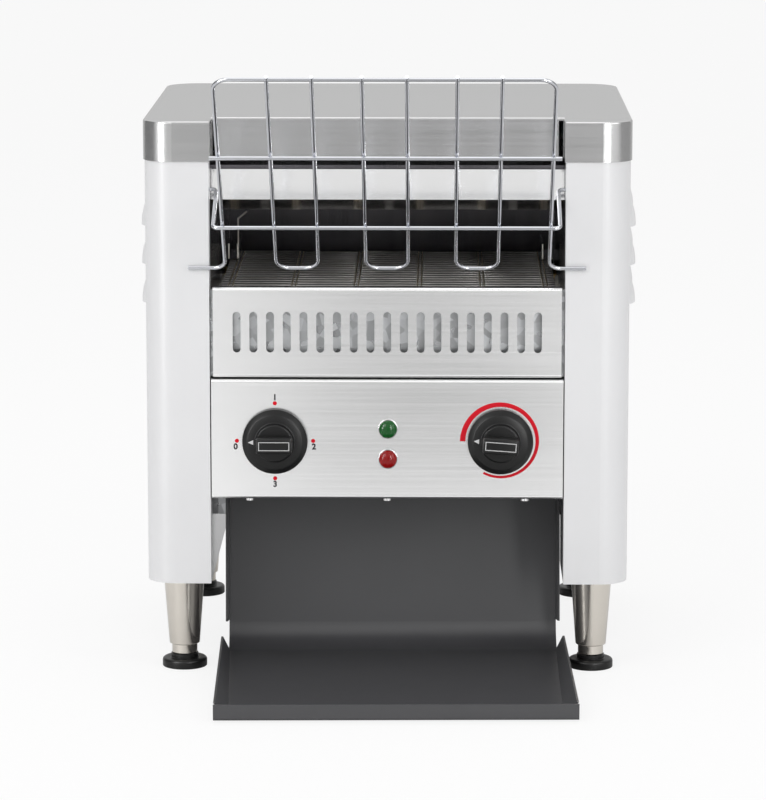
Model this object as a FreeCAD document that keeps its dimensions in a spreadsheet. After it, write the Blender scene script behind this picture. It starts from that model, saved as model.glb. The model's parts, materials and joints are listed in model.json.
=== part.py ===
import FreeCAD, Part
import math
import os
import Sketcher
from FreeCAD import Matrix, Placement, Rotation, Vector

# Conveyor toaster. Front faces -Y, +Z is up, millimetres.
# Driving sizes. Depths are counted back from the front of the columns.
DRIVING = {
    # casing
    "body_width": 368.0,
    "body_depth": 311.0,
    "body_bottom": 70.5,
    "body_top": 425.1,
    "origin_depth": 78.07,
    "column_width": 49.4,
    "corner_radius": 22.0,
    "rear_corner_radius": 26.0,
    "return_depth": 16.0,
    "skin": 1.2,
    "seam": 0.2,
    "cover_height": 30.4,
    "cover_proud": 1.0,
    "cover_edge_radius": 1.5,
    "cap_inner_step": 1.1,
    "recess_depth": 32.0,
    "recess_slit": 3.6,
    "recess_slit_edge": 0.3,
    # louvres on the sides
    "louvre_length": 40.0,
    "louvre_height": 21.0,
    "louvre_proud": 7.5,
    "louvre_pitch": 30.0,
    "louvre_row_depth": 43.0,
    "louvre_first_depth": 89.0,
    "louvre_drop": 117.7,
    "louvre_stagger": 8.0,
    # front panels
    "control_panel_gap": 0.9,
    "control_panel_bottom": 136.6,
    "control_panel_height": 92.4,
    "control_flange": 12.0,
    "slot_panel_gap": 2.6,
    "slot_panel_seam": 1.3,
    "slot_panel_height": 69.0,
    "slot_flange": 9.0,
    "panel_edge_radius": 2.5,
    "vent_slots": 19.0,
    "vent_margin": 18.0,
    "vent_width": 6.0,
    "vent_height": 31.1,
    "vent_lift": 19.3,
    "control_box_depth": 50.0,
    "box_side_gap": 1.6,
    # controls
    "selector_across": -85.3,
    "speed_across": 86.1,
    "knob_lift": 45.0,
    "knob_radius": 24.9,
    "knob_gap": 0.6,
    "skirt_thick": 7.0,
    "knob_boss_radius": 14.5,
    "knob_boss_thick": 5.0,
    "grip_length": 27.0,
    "grip_thick": 12.0,
    "grip_proud": 12.0,
    "grip_rounding": 1.5,
    "stem_radius": 3.0,
    "stem_length": 34.0,
    "running_gap": 0.05,
    "speed_rest_angle": 4.0,
    "switch_side": 40.0,
    "switch_depth": 34.0,
    "controller_radius": 14.0,
    "controller_depth": 24.0,
    "lamp_across": 0.6,
    "lamp_lift": 43.0,
    "lamp_pitch": 23.1,
    "bezel_radius": 7.6,
    "bezel_thick": 2.5,
    "lamp_body_radius": 6.0,
    "lamp_body_depth": 28.0,
    "lens_radius": 6.2,
    "lens_rise": 4.0,
    # conveyor
    "belt_drop": 4.3,
    "belt_front_gap": 3.8,
    "drive_shaft_inset": 71.0,
    "shaft_radius": 5.0,
    "shaft_overhang": 5.0,
    "drive_shaft_overhang": 20.0,
    "bush_radius": 8.0,
    "bush_length": 6.0,
    "belt_radius": 20.0,
    "belt_wire": 2.0,
    "belt_side_gap": 6.3,
    "belt_edge_strip": 7.6,
    "belt_strips": 5.0,
    "belt_pitch": 12.7,
    "sprocket_thick": 6.0,
    "sprocket_tip_gap": 0.5,
    "sprocket_tooth": 3.0,
    "sprocket_teeth": 12.0,
    # chain drive
    "motor_forward": 25.0,
    "motor_clearance": 3.3,
    "gearbox_radius": 29.0,
    "gearbox_length": 26.0,
    "motor_radius": 26.0,
    "motor_length": 38.0,
    "motor_stem_radius": 4.0,
    "motor_stem_grip": 20.0,
    "chain_inset": 13.2,
    "chain_width": 8.0,
    "chain_thick": 4.0,
    "chain_gap": 0.4,
    "chain_tooth": 3.0,
    "small_sprocket_radius": 18.0,
    "large_sprocket_radius": 27.0,
    "small_sprocket_teeth": 12.0,
    "large_sprocket_teeth": 18.0,
    # guides over the ends of the belt
    "guide_front": 180.0,
    "guide_rear": 232.0,
    "guide_lift": 1.3,
    "guide_height": 13.0,
    "guide_outer": 6.4,
    "guide_inner": 11.9,
    "guide_thick": 1.6,
    "leaf_height": 32.6,
    "leaf_inset": 12.4,
    "leaf_tip": 7.5,
    "leaf_tip_rise": 6.5,
    "leaf_length": 10.0,
    # heating
    "element_radius": 5.0,
    "element_overhang": 8.0,
    "element_gap": 0.3,
    "insulator_radius": 8.8,
    "insulator_length": 6.0,
    "insulator_gap": 0.1,
    "upper_element_drop": 25.5,
    "first_upper_element": 50.0,
    "upper_element_pitch": 65.0,
    "first_lower_element": 55.0,
    "lower_element_pitch": 48.0,
    "reflector_front": 38.0,
    "reflector_inset": 21.0,
    "inlet_height": 54.8,
    "reflector_height": 34.6,
    "reflector_eave": 5.0,
    "deflector_gap": 9.3,
    "deflector_nose_lift": 8.7,
    "deflector_top_depth": 34.0,
    "deflector_nose_depth": 29.0,
    "deflector_hem": 3.4,
    "heat_shield_gap": 11.5,
    "heat_shield_tail": 22.0,
    # rear end and chute
    "pan_front": 100.0,
    "pan_drop": 32.1,
    "slide_head_room": 3.1,
    "chute_setback": 12.0,
    "chute_lift": 4.3,
    "chute_gap": 12.2,
    "rear_plate_inset": 11.0,
    "gland_across": -108.0,
    "gland_lift": 23.3,
    "gland_bore": 4.5,
    "gland_body": 8.0,
    "gland_flange": 11.0,
    "gland_out": 12.0,
    "gland_in": 10.0,
    "fan_across": 10.0,
    "fan_side": 76.0,
    "fan_depth": 24.0,
    "fan_bore": 35.0,
    "fan_hub_radius": 13.0,
    "fan_blade_gap": 1.2,
    "fan_blades": 7.0,
    "fan_stem_radius": 3.0,
    "fan_hub_cap": 2.0,
    "fan_setback": 3.0,
    "vent_bar_pitch": 9.0,
    "vent_bar_open": 5.0,
    # legs and feet
    "leg_inset": 27.0,
    "leg_top_radius": 15.7,
    "leg_end_radius": 11.7,
    "leg_end_height": 18.3,
    "neck_radius": 9.75,
    "neck_end_height": 10.7,
    "foot_radius": 17.2,
    "foot_height": 7.0,
    "foot_rounding": 2.5,
    "collar_radius": 10.5,
    "foot_stem_radius": 4.0,
    "foot_stem_length": 26.0,
    "foot_seat_gap": 0.3,
    # discharge slide
    "slide_side_gap": 6.4,
    "slide_offset": 3.0,
    "slide_skew": 1.3,
    "slide_sheet": 1.5,
    "slide_back_depth": 95.2,
    "slide_bend_depth": 73.0,
    "slide_bend_height": 4.0,
    "slide_bend_radius": 24.0,
    "slide_front_depth": -149.0,
    "slide_front_height": 1.2,
    "slide_lip": 12.2,
    "slide_root_taper": 5.2,
    "slide_flare": 11.0,
    "slide_rear_flare": 6.0,
    "slide_flange_rear": 58.0,
    "slide_notch": 1.5,
    "slide_lip_ledge": 4.0,
    "slide_upper_lean": 2.6,
    "slide_upper_rise": 12.0,
    "slide_upper_low": 26.0,
    "slide_upper_end": 6.0,
    "slide_trim": 40.0,
    "slide_hook": 10.0,
    "slide_hook_gap": 0.3,
    # feed rack
    "rack_wire": 3.0,
    "rack_slope": 44.4,
    "rack_gap": 0.3,
    "rack_foot_lift": 15.2,
    "rack_length": 224.2,
    "rack_side_gap": 12.6,
    "rack_hook_overlap": 15.4,
    "rack_corner": 11.0,
    "rack_hook_bend": 9.0,
    "rack_mid_wire": 137.3,
    "rack_mid_overhang": 6.2,
    "rack_low_wire": 53.6,
    "loop_share": 1.8,
    "loop_width": 32.0,
    "loop_bend": 11.0,
    "loop_tip": 3.0,
    "bail_side_gap": 5.6,
    "bail_bend": 4.0,
    "bail_overlap": 7.4,
    "pivot_depth": 8.0,
    "pivot_drop": 21.6,
    "weld_bite": 0.3,
    # fasteners
    "screw_radius": 2.0,
    "screw_head_radius": 3.4,
    "screw_head_thick": 1.8,
    "screw_length": 8.0,
    "panel_screw_inset": 28.7,
    "panel_screw_depth": 6.0,
    "rear_screw_inset": 8.0,
}

doc = FreeCAD.newDocument("ConveyorToaster")
sheet = doc.addObject("Spreadsheet::Sheet", "Sizes")
for row, (alias, number) in enumerate(DRIVING.items(), start=1):
    sheet.set(f"A{row}", alias)
    sheet.set(f"B{row}", str(number))
    sheet.setAlias(f"B{row}", alias)
doc.recompute()


class Size:
    """A number together with the spreadsheet formula that gives it."""

    def __init__(self, value, formula):
        self.value = value
        self.formula = formula

    def __add__(self, other):
        other = as_size(other)
        return Size(self.value + other.value, f"({self.formula} + {other.formula})")

    def __radd__(self, other):
        return as_size(other) + self

    def __sub__(self, other):
        other = as_size(other)
        return Size(self.value - other.value, f"({self.formula} - {other.formula})")

    def __rsub__(self, other):
        return as_size(other) - self

    def __mul__(self, other):
        other = as_size(other)
        return Size(self.value * other.value, f"({self.formula} * {other.formula})")

    def __rmul__(self, other):
        return as_size(other) * self

    def __truediv__(self, other):
        other = as_size(other)
        return Size(self.value / other.value, f"({self.formula} / {other.formula})")

    def __neg__(self):
        return Size(-self.value, f"(-{self.formula})")


def as_size(item):
    return item if isinstance(item, Size) else Size(float(item), f"({float(item)})")


def numbers(items):
    return [as_size(item).value for item in items]


class Sheet:
    """Gives each spreadsheet cell as a Size, by its alias."""

    def __getattr__(self, alias):
        return Size(float(sheet.get(alias)), f"Sizes.{alias}")


s = Sheet()
half_body = s.body_width / 2
half_bay = half_body - s.column_width
wall_top = s.body_top - s.cover_height
# heights, from the control panel up and from it down
control_panel_top = s.control_panel_bottom + s.control_panel_height
slot_panel_bottom = control_panel_top + s.slot_panel_seam
slot_panel_top = slot_panel_bottom + s.slot_panel_height
belt_outer = s.belt_radius + s.belt_wire / 2
shaft_height = slot_panel_top - s.belt_drop - belt_outer
heat_shield_height = shaft_height - belt_outer - s.heat_shield_gap
reflector_bottom = slot_panel_top + s.inlet_height
reflector_top = reflector_bottom + s.reflector_height
deflector_top = wall_top - s.deflector_gap
pivot_height = wall_top - s.pivot_drop
rack_foot_height = slot_panel_top + s.rack_foot_lift
knob_height = s.control_panel_bottom + s.knob_lift
lamp_height = s.control_panel_bottom + s.lamp_lift
pan_height = s.control_panel_bottom - s.pan_drop
pan_front_height = s.control_panel_bottom - s.slide_sheet - s.slide_hook_gap - s.slide_head_room
chute_front_height = pan_front_height + s.chute_lift
chute_rear_height = heat_shield_height - s.chute_gap
motor_height = pan_height + s.skin + s.motor_clearance + s.gearbox_radius
# depths
front_shaft_depth = s.slot_flange + s.skin + s.belt_front_gap + belt_outer
drive_shaft_depth = s.body_depth - s.drive_shaft_inset
motor_depth = drive_shaft_depth - s.motor_forward
reflector_rear = s.body_depth - s.reflector_inset
rear_plate_depth = s.body_depth - s.rear_plate_inset
# widths
control_half = half_bay - s.control_panel_gap
slot_panel_half = half_bay - s.slot_panel_gap
belt_half = half_bay - s.belt_side_gap
belt_strip = (belt_half - s.belt_edge_strip) * 2 / s.belt_strips
chain_across = half_bay + s.skin + s.chain_inset
slide_half = half_bay - s.slide_side_gap
rack_half = half_bay - s.rack_side_gap
SUBPARTS = []


def at(depth):
    """The Y coordinate of a depth behind the columns' front."""
    return depth - s.origin_depth


def bind(item, **values):
    for name, value in values.items():
        item.setExpression(name, as_size(value).formula)


def place(item, corner):
    for axis, value in zip("xyz", corner):
        item.setExpression(f"Placement.Base.{axis}", as_size(value).formula)


def keep(item, label):
    item.Label = label
    SUBPARTS.append(item)
    return item


# Part primitives and booleans bound to the sheet
TURN = {
    "x": Rotation(Vector(0, 1, 0), 90),
    "y": Rotation(Vector(1, 0, 0), -90),
    "z": Rotation(),
}


def box(low, high):
    item = doc.addObject("Part::Box", "Block")
    length, width, height = [as_size(b) - a for a, b in zip(low, high)]
    bind(item, Length=length, Width=width, Height=height)
    place(item, low)
    return item


def cylinder(start, radius, length, axis="z"):
    item = doc.addObject("Part::Cylinder", "Round")
    item.Placement = Placement(Vector(), TURN[axis])
    bind(item, Radius=radius, Height=length)
    place(item, start)
    return item


def cone(start, radius_start, radius_end, length, axis="z"):
    item = doc.addObject("Part::Cone", "Taper")
    item.Placement = Placement(Vector(), TURN[axis])
    bind(item, Radius1=radius_start, Radius2=radius_end, Height=length)
    place(item, start)
    return item


def fuse(*items):
    item = doc.addObject("Part::MultiFuse", "Joined")
    item.Shapes = list(items)
    return item


def group(*items):
    item = doc.addObject("Part::Compound", "Group")
    item.Links = list(items)
    return item


def cut(base, *tools):
    item = doc.addObject("Part::Cut", "CutAway")
    item.Base = base
    item.Tool = tools[0] if len(tools) == 1 else fuse(*tools)
    return item


def common(base, tool):
    item = doc.addObject("Part::Common", "Shared")
    item.Base = base
    item.Tool = tool
    return item


def mirrored(source):
    item = doc.addObject("Part::Mirroring", "Mirrored")
    item.Source = source
    item.Base = (0, 0, 0)
    item.Normal = (1, 0, 0)
    return item


def ring(start, outer, inner, length, axis):
    """A tube whose bore runs 1 mm past both ends."""
    shift = {"x": (1, 0, 0), "y": (0, 1, 0), "z": (0, 0, 1)}[axis]
    bore_start = [as_size(a) - b for a, b in zip(start, shift)]
    return cut(cylinder(start, outer, length, axis), cylinder(bore_start, inner, as_size(length) + 2, axis))


# PartDesign bodies: a padded outline, edges rounded where it has corners
def outline_sketch(body, role, offset, points):
    sketch = body.newObject("Sketcher::SketchObject", "Outline")
    plane = [item for item in body.Origin.OriginFeatures if item.Role == role][0]
    sketch.AttachmentSupport = [(plane, "")]
    sketch.MapMode = "FlatFace"
    sketch.setExpression("AttachmentOffset.Base.z", as_size(offset).formula)
    corners = [(as_size(x), as_size(y)) for x, y in points]
    count = len(corners)
    for index, (x, y) in enumerate(corners):
        next_x, next_y = corners[(index + 1) % count]
        start = Vector(x.value, y.value, 0)
        sketch.addGeometry(Part.LineSegment(start, Vector(next_x.value, next_y.value, 0)), False)
    for index, corner in enumerate(corners):
        sketch.addConstraint(Sketcher.Constraint("Coincident", index, 2, (index + 1) % count, 1))
        for kind, value in zip(("DistanceX", "DistanceY"), corner):
            number = sketch.addConstraint(Sketcher.Constraint(kind, -1, 1, index, 1, value.value))
            sketch.renameConstraint(number, f"{kind}{index}")
            sketch.setExpression(f"Constraints.{kind}{index}", value.formula)
    return sketch


def padded(role, points, start, length):
    """A body padded along +X, +Y or +Z from start; the XZ plane's normal is -Y."""
    body = doc.addObject("PartDesign::Body", "Body")
    backward = role == "XZ_Plane"
    sketch = outline_sketch(body, role, -as_size(start) if backward else start, points)
    pad = body.newObject("PartDesign::Pad", "Pad")
    pad.Profile = sketch
    bind(pad, Length=length)
    pad.Reversed = backward
    body.Tip = pad
    doc.recompute()
    return body


def rounded(body, radius, picks):
    """Round the edges for which picks returns true."""
    base = body.Tip
    names = [f"Edge{i}" for i, edge in enumerate(base.Shape.Edges, start=1) if picks(edge)]
    fillet = body.newObject("PartDesign::Fillet", "Fillet")
    fillet.Base = (base, names)
    bind(fillet, Radius=radius)
    body.Tip = fillet
    doc.recompute()
    return body


def along(axes, *places):
    """Pick straight edges that stand on the given places, seen along the third axis."""
    targets = [numbers(spot) for spot in places]

    def picks(edge):
        ends = [[getattr(v.Point, axis) for axis in axes] for v in edge.Vertexes]
        return len(ends) == 2 and any(
            all(abs(end[k] - spot[k]) < 1e-4 for end in ends for k in (0, 1)) for spot in targets)

    return picks


def in_plane(axis, value):
    """Pick edges that lie in one plane."""
    level = as_size(value).value

    def picks(edge):
        low, high = edge.BoundBox.__getattribute__(f"{axis.upper()}Min"), \
            edge.BoundBox.__getattribute__(f"{axis.upper()}Max")
        return abs(low - level) < 1e-3 and abs(high - level) < 1e-3

    return picks


def rectangle(low_x, low_y, high_x, high_y):
    return [(low_x, low_y), (high_x, low_y), (high_x, high_y), (low_x, high_y)]


def feature(shape, label):
    item = doc.addObject("Part::Feature", "Shape")
    item.Shape = shape
    return keep(item, label)


# Casing
def rounded_column(inset, inner, bottom, top):
    """A solid column in plan, set in from the casing's outside by inset."""
    outer = half_body - inset
    front = at(0) + inset
    rear = at(s.body_depth) - inset
    body = padded("XY_Plane", rectangle(inner, front, outer, rear), bottom, top - bottom)
    rounded(body, s.corner_radius - inset, along("xy", (outer, front)))
    return rounded(body, s.rear_corner_radius - inset, along("xy", (outer, rear)))


def louvre_spots():
    for column in range(3):
        for level in range(3):
            lift = s.louvre_stagger if column == 1 else as_size(0)
            yield (at(s.louvre_first_depth + column * s.louvre_row_depth),
                   (wall_top - s.louvre_drop) + level * s.louvre_pitch + lift)


def louvre_bulge(depth, height, less):
    """The upper half of an ellipsoid on the side of the casing, smaller by less."""
    item = doc.addObject("Part::Ellipsoid", "Louvre")
    item.Angle1 = 0
    item.Angle2 = 90
    bind(item, Radius1=s.louvre_height - less, Radius2=s.louvre_proud - less,
         Radius3=s.louvre_length / 2 - less)
    place(item, (half_body, depth, height))
    return item


def side_panels():
    shell = rounded_column(as_size(0), half_bay, s.body_bottom, wall_top)
    hollow = rounded_column(s.skin, half_bay + s.skin, s.body_bottom, wall_top)
    open_side = box((half_bay - 1, at(s.return_depth), s.body_bottom),
                    (half_bay + s.skin + 0.5, at(s.body_depth) - s.skin, wall_top))
    slab = box((half_body - s.skin / 2, at(0), s.body_bottom),
               (half_body + s.louvre_proud, at(s.body_depth), wall_top))
    bulges = group(*[louvre_bulge(y, z, as_size(0)) for y, z in louvre_spots()])
    hollows = group(*[louvre_bulge(y, z, s.skin) for y, z in louvre_spots()])
    pivot = cylinder((half_bay - 1, at(s.pivot_depth), pivot_height),
                     s.rack_wire / 2 + s.running_gap, s.skin + 2, "x")
    walls = cut(cut(shell, hollow), open_side, pivot)
    panel = cut(fuse(walls, common(bulges, slab)), hollows)
    keep(panel, "right_side_panel")
    keep(mirrored(panel), "left_side_panel")


def cover_outline(inset):
    side = half_body + s.cover_proud - inset
    front = at(0) - s.cover_proud + inset
    rear = at(s.body_depth) + s.cover_proud - inset
    cap = half_bay - s.cap_inner_step + inset
    recess = at(s.recess_depth) + inset
    return [(-side, front), (-cap, front), (-cap, recess), (cap, recess), (cap, front),
            (side, front), (side, rear), (-side, rear)]


def cover_block(inset, bottom, top):
    points = cover_outline(inset)
    body = padded("XY_Plane", points, bottom, top - bottom)
    front_radius = s.corner_radius + s.cover_proud - inset
    rear_radius = s.rear_corner_radius + s.cover_proud - inset
    rounded(body, front_radius, along("xy", points[0], points[5]))
    return rounded(body, rear_radius, along("xy", points[6], points[7]))


def top_cover():
    outside = cover_block(as_size(0), wall_top, s.body_top)
    rounded(outside, s.cover_edge_radius, in_plane("z", s.body_top))
    inside = cover_block(s.skin, wall_top - 1, s.body_top - s.skin)
    cap = half_bay - s.cap_inner_step - s.recess_slit_edge
    slits = [box((low, at(s.recess_depth) - 1, wall_top - 1),
                 (low + s.recess_slit, at(s.recess_depth) + s.skin + 1, s.body_top - 2 * s.skin))
             for low in (-cap, cap - s.recess_slit)]
    keep(cut(outside, inside, *slits), "top_cover")


def element_places():
    for index in range(3):
        yield (at(front_shaft_depth + s.first_upper_element + index * s.upper_element_pitch), reflector_top - s.upper_element_drop)
    for index in range(3):
        yield (at(front_shaft_depth + s.first_lower_element + index * s.lower_element_pitch), shaft_height)


def shaft_places():
    return [(at(front_shaft_depth), shaft_height), (at(drive_shaft_depth), shaft_height)]


def belt_guide(side):
    """The channel over the belt's edge, and on the left the leaf with a bent tip."""
    low = shaft_height + belt_outer + s.guide_lift
    front, rear = at(s.guide_front), at(s.guide_rear)

    def slab(out, inside, bottom, top, back=rear):
        ends = (half_bay - inside, half_bay - out) if side > 0 else (-half_bay + out, -half_bay + inside)
        return box((ends[0], front, bottom), (ends[1], back, top))

    floor = slab(as_size(0), s.guide_inner + s.guide_thick, low, low + s.skin)
    flanges = [slab(place, place + s.guide_thick, low, low + s.guide_height)
               for place in (s.guide_outer - s.guide_thick, s.guide_inner)]
    if side > 0:
        return [floor, *flanges]
    across = -half_bay + s.leaf_inset
    bend = low + s.leaf_height
    leaf = padded("XZ_Plane", [(across, low), (across + s.guide_thick, low),
                               (across + s.guide_thick, bend),
                               (across + s.guide_thick + s.leaf_tip, bend + s.leaf_tip_rise),
                               (across + s.leaf_tip, bend + s.leaf_tip_rise), (across, bend)],
                  front, s.leaf_length)
    return [floor, *flanges, leaf]


def inner_wall(side):
    low = half_bay if side > 0 else -half_bay - s.skin
    plate = box((low, at(s.return_depth) + s.seam, s.body_bottom),
                (low + s.skin, at(s.body_depth) - s.skin - s.seam, wall_top))
    holes = [cylinder((low - 1, y, z), s.insulator_radius + s.insulator_gap, s.skin + 2, "x")
             for y, z in element_places()]
    holes += [cylinder((low - 1, y, z), s.bush_radius + s.running_gap, s.skin + 2, "x")
              for y, z in shaft_places()]
    if side > 0:
        holes.append(cylinder((low - 1, at(motor_depth), motor_height),
                              s.motor_stem_radius + 2, s.skin + 2, "x"))
    keep(fuse(cut(plate, *holes), *belt_guide(side)),
         "right_inner_wall" if side > 0 else "left_inner_wall")


def base_plates():
    plate = rounded_column(s.skin + s.seam, half_bay + s.skin + s.seam, s.body_bottom,
                           s.body_bottom + s.skin)
    keep(plate, "right_base_plate")
    keep(mirrored(plate), "left_base_plate")


def rear_screw_places():
    for x in (-half_bay + s.rear_screw_inset, half_bay - s.rear_screw_inset):
        for z in (pan_height + 1.5 * s.rear_screw_inset, (pan_height + wall_top) / 2,
                  wall_top - s.rear_screw_inset):
            yield x, z


def rear_panel():
    rear = at(s.body_depth)
    plate = box((-half_bay + s.seam, rear - s.skin, pan_height),
                (half_bay - s.seam, rear, wall_top - s.seam))
    fan_centre = pan_height + s.skin + s.fan_side / 2
    half_open = s.fan_side / 2 - 6
    bars = [box((s.fan_across - half_open, rear - s.skin - 1, fan_centre + (k - 3) * s.vent_bar_pitch),
                (s.fan_across + half_open, rear + 1,
                 fan_centre + (k - 3) * s.vent_bar_pitch + s.vent_bar_open)) for k in range(7)]
    gland = cylinder((s.gland_across, rear - s.skin - 1, (pan_height + s.gland_lift)),
                     s.gland_body + s.running_gap, s.skin + 2, "y")
    holes = [cylinder((x, rear - s.skin - 1, z), s.screw_radius + s.running_gap, s.skin + 2, "y")
             for x, z in rear_screw_places()]
    keep(cut(plate, gland, *bars, *holes), "rear_panel")


# Front panels
def channel(width, bottom, top, flange):
    """A front plate with its top and bottom edges folded back."""
    front = at(0)
    back = front + flange
    points = [(front, bottom), (back, bottom), (back, bottom + s.skin), (front + s.skin, bottom + s.skin),
              (front + s.skin, top - s.skin), (back, top - s.skin), (back, top), (front, top)]
    body = padded("YZ_Plane", points, -width / 2, width)
    return rounded(body, s.panel_edge_radius, along("yz", points[0], points[7]))


def vent_row():
    """The row of upright slots: left centre, pitch, end radius, lower and upper end centres."""
    radius = s.vent_width / 2
    left = s.vent_margin - slot_panel_half
    pitch = -2 * left / (s.vent_slots - 1)
    low = slot_panel_bottom + s.vent_lift + radius
    high = low + s.vent_height - 2 * radius
    return left, pitch, radius, low, high


def slotted_front_panel():
    panel = channel(2 * slot_panel_half, slot_panel_bottom, slot_panel_top, s.slot_flange)
    left, pitch, radius, low, high = vent_row()
    front = at(0) - 1
    cutters = []
    for index in range(int(s.vent_slots.value)):
        across = left + index * pitch
        cutters.append(box((across - radius, front, low), (across + radius, front + s.skin + 2, high)))
        cutters.append(cylinder((across, front, low), radius, s.skin + 2, "y"))
        cutters.append(cylinder((across, front, high), radius, s.skin + 2, "y"))
    keep(cut(panel, *cutters), "slotted_front_panel")


def lamp_places():
    return [("green", lamp_height + s.lamp_pitch / 2), ("red", lamp_height - s.lamp_pitch / 2)]


def screw_places():
    return [index * (control_half - s.panel_screw_inset) for index in (-1, 0, 1)]


def control_panel():
    panel = channel(2 * control_half, s.control_panel_bottom, control_panel_top, s.control_flange)
    start = at(0) - 1
    holes = [cylinder((across, start, knob_height), s.stem_radius + 1, s.skin + 2, "y")
             for across in (s.selector_across, s.speed_across)]
    holes += [cylinder((s.lamp_across, start, height), s.lamp_body_radius + s.running_gap, s.skin + 2, "y")
              for _, height in lamp_places()]
    holes += [cylinder((across, at(s.panel_screw_depth), s.control_panel_bottom - 1),
                       s.screw_radius + s.running_gap, s.skin + 2)
              for across in screw_places()]
    keep(cut(panel, *holes), "control_panel")


def control_box():
    """An open-fronted housing behind the panel for the switch and the speed control."""
    half = half_bay - s.box_side_gap
    front = at(s.control_flange)
    back = front + s.control_box_depth
    low = s.control_panel_bottom
    high = control_panel_top
    outside = box((-half, front, low), (half, back, high))
    inside = box((-half + s.skin, front - 1, low + s.skin), (half - s.skin, back - s.skin, high - s.skin))
    keep(cut(outside, inside), "control_box")


def slot_backing_sheet():
    front = at(s.slot_flange)
    keep(box((-half_bay + s.seam, front, slot_panel_bottom),
             (half_bay - s.seam, front + s.skin, slot_panel_top - 2 * s.skin)), "slot_backing_sheet")


def screw(start, axis, turn):
    """A pan-head screw whose head lies before start and whose shank runs on from it."""
    x, y, z = start
    head_start = (x, y, z - s.screw_head_thick) if axis == "z" else (x, y, z)
    shank_start = (x, y, z) if turn > 0 else (x, y - s.screw_length, z)
    head = cylinder(head_start, s.screw_head_radius, s.screw_head_thick, axis)
    return fuse(head, cylinder(shank_start, s.screw_radius, s.screw_length, axis))


def panel_screws():
    """Three under the control panel and six on the rear panel."""
    screws = [screw((across, at(s.panel_screw_depth), s.control_panel_bottom), "z", 1)
              for across in screw_places()]
    screws += [screw((x, at(s.body_depth), z), "y", -1) for x, z in rear_screw_places()]
    keep(group(*screws), "panel_screws")


# Controls
def knob(across, angle, prefix):
    front = at(0) - s.knob_gap
    skirt_front = front - s.skirt_thick
    boss_front = skirt_front - s.knob_boss_thick
    grip_front = boss_front - s.grip_proud
    bevel = cone((0, skirt_front, 0), s.knob_radius - s.skirt_thick / 2, s.knob_radius,
                 s.skirt_thick / 2, "y")
    rim = cylinder((0, skirt_front + s.skirt_thick / 2, 0), s.knob_radius, s.skirt_thick / 2, "y")
    boss = cone((0, boss_front, 0), s.knob_boss_radius - 1, s.knob_boss_radius, s.knob_boss_thick, "y")
    grip = padded("XZ_Plane", rectangle(-s.grip_length / 2, -s.grip_thick / 2, s.grip_length / 2,
                                        s.grip_thick / 2), grip_front, s.grip_proud)
    rounded(grip, s.grip_rounding, in_plane("y", grip_front))
    stem_hole = cylinder((0, front - s.skirt_thick, 0), s.stem_radius, s.skirt_thick + 1, "y")
    item = cut(fuse(bevel, rim, boss, grip), stem_hole)
    turned = doc.addObject("Part::Compound", "TurnedKnob")
    turned.Links = [item]
    turned.Placement = Placement(Vector(), Rotation(Vector(0, 1, 0), as_size(angle).value))
    turned.setExpression("Placement.Rotation.Angle", as_size(angle).formula)
    place(turned, (across, 0, knob_height))
    keep(turned, f"{prefix}_knob")
    stem = cylinder((across, front - s.skirt_thick, knob_height), s.stem_radius, s.stem_length, "y")
    keep(stem, f"{prefix}_stem")


def selector_switch():
    front = at(0) + s.skin
    half = s.switch_side / 2
    body = box((s.selector_across - half, front, knob_height - half),
               (s.selector_across + half, front + s.switch_depth, knob_height + half))
    bore = cylinder((s.selector_across, front - 1, knob_height), s.stem_radius + s.running_gap,
                    s.switch_depth - 2, "y")
    keep(cut(body, bore), "selector_switch")


def speed_controller():
    front = at(0) + s.skin
    body = cylinder((s.speed_across, front, knob_height), s.controller_radius, s.controller_depth + 6, "y")
    bore = cylinder((s.speed_across, front - 1, knob_height), s.stem_radius + s.running_gap,
                    s.controller_depth + 5, "y")
    keep(cut(body, bore), "speed_controller")


def pilot_lamps():
    front = at(0)
    for colour, height in lamp_places():
        flange = cylinder((s.lamp_across, front - s.bezel_thick, height), s.bezel_radius, s.bezel_thick, "y")
        barrel = cylinder((s.lamp_across, front, height), s.lamp_body_radius, s.lamp_body_depth, "y")
        seat = cylinder((s.lamp_across, front - s.bezel_thick - 1, height), s.lens_radius,
                        s.bezel_thick, "y")
        keep(cut(fuse(flange, barrel), seat), f"{colour}_lamp_body")
        base = front - 1
        stub = cylinder((s.lamp_across, base - s.bezel_thick + 1, height), s.lens_radius - s.running_gap,
                        s.bezel_thick - 1, "y")
        dome = cone((s.lamp_across, base - s.bezel_thick + 1 - s.lens_rise, height), s.lens_radius / 2,
                    s.lens_radius - s.running_gap, s.lens_rise, "y")
        keep(fuse(stub, dome), f"{colour}_lamp_lens")


# Conveyor
def loop_block(radius, half_width):
    """The solid that a belt of this radius would enclose."""
    front = at(front_shaft_depth)
    rear = at(drive_shaft_depth)
    middle = box((-half_width, front, shaft_height - radius), (half_width, rear, shaft_height + radius))
    ends = [cylinder((-half_width, y, shaft_height), radius, 2 * half_width, "x") for y in (front, rear)]
    return fuse(middle, *ends)


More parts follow.
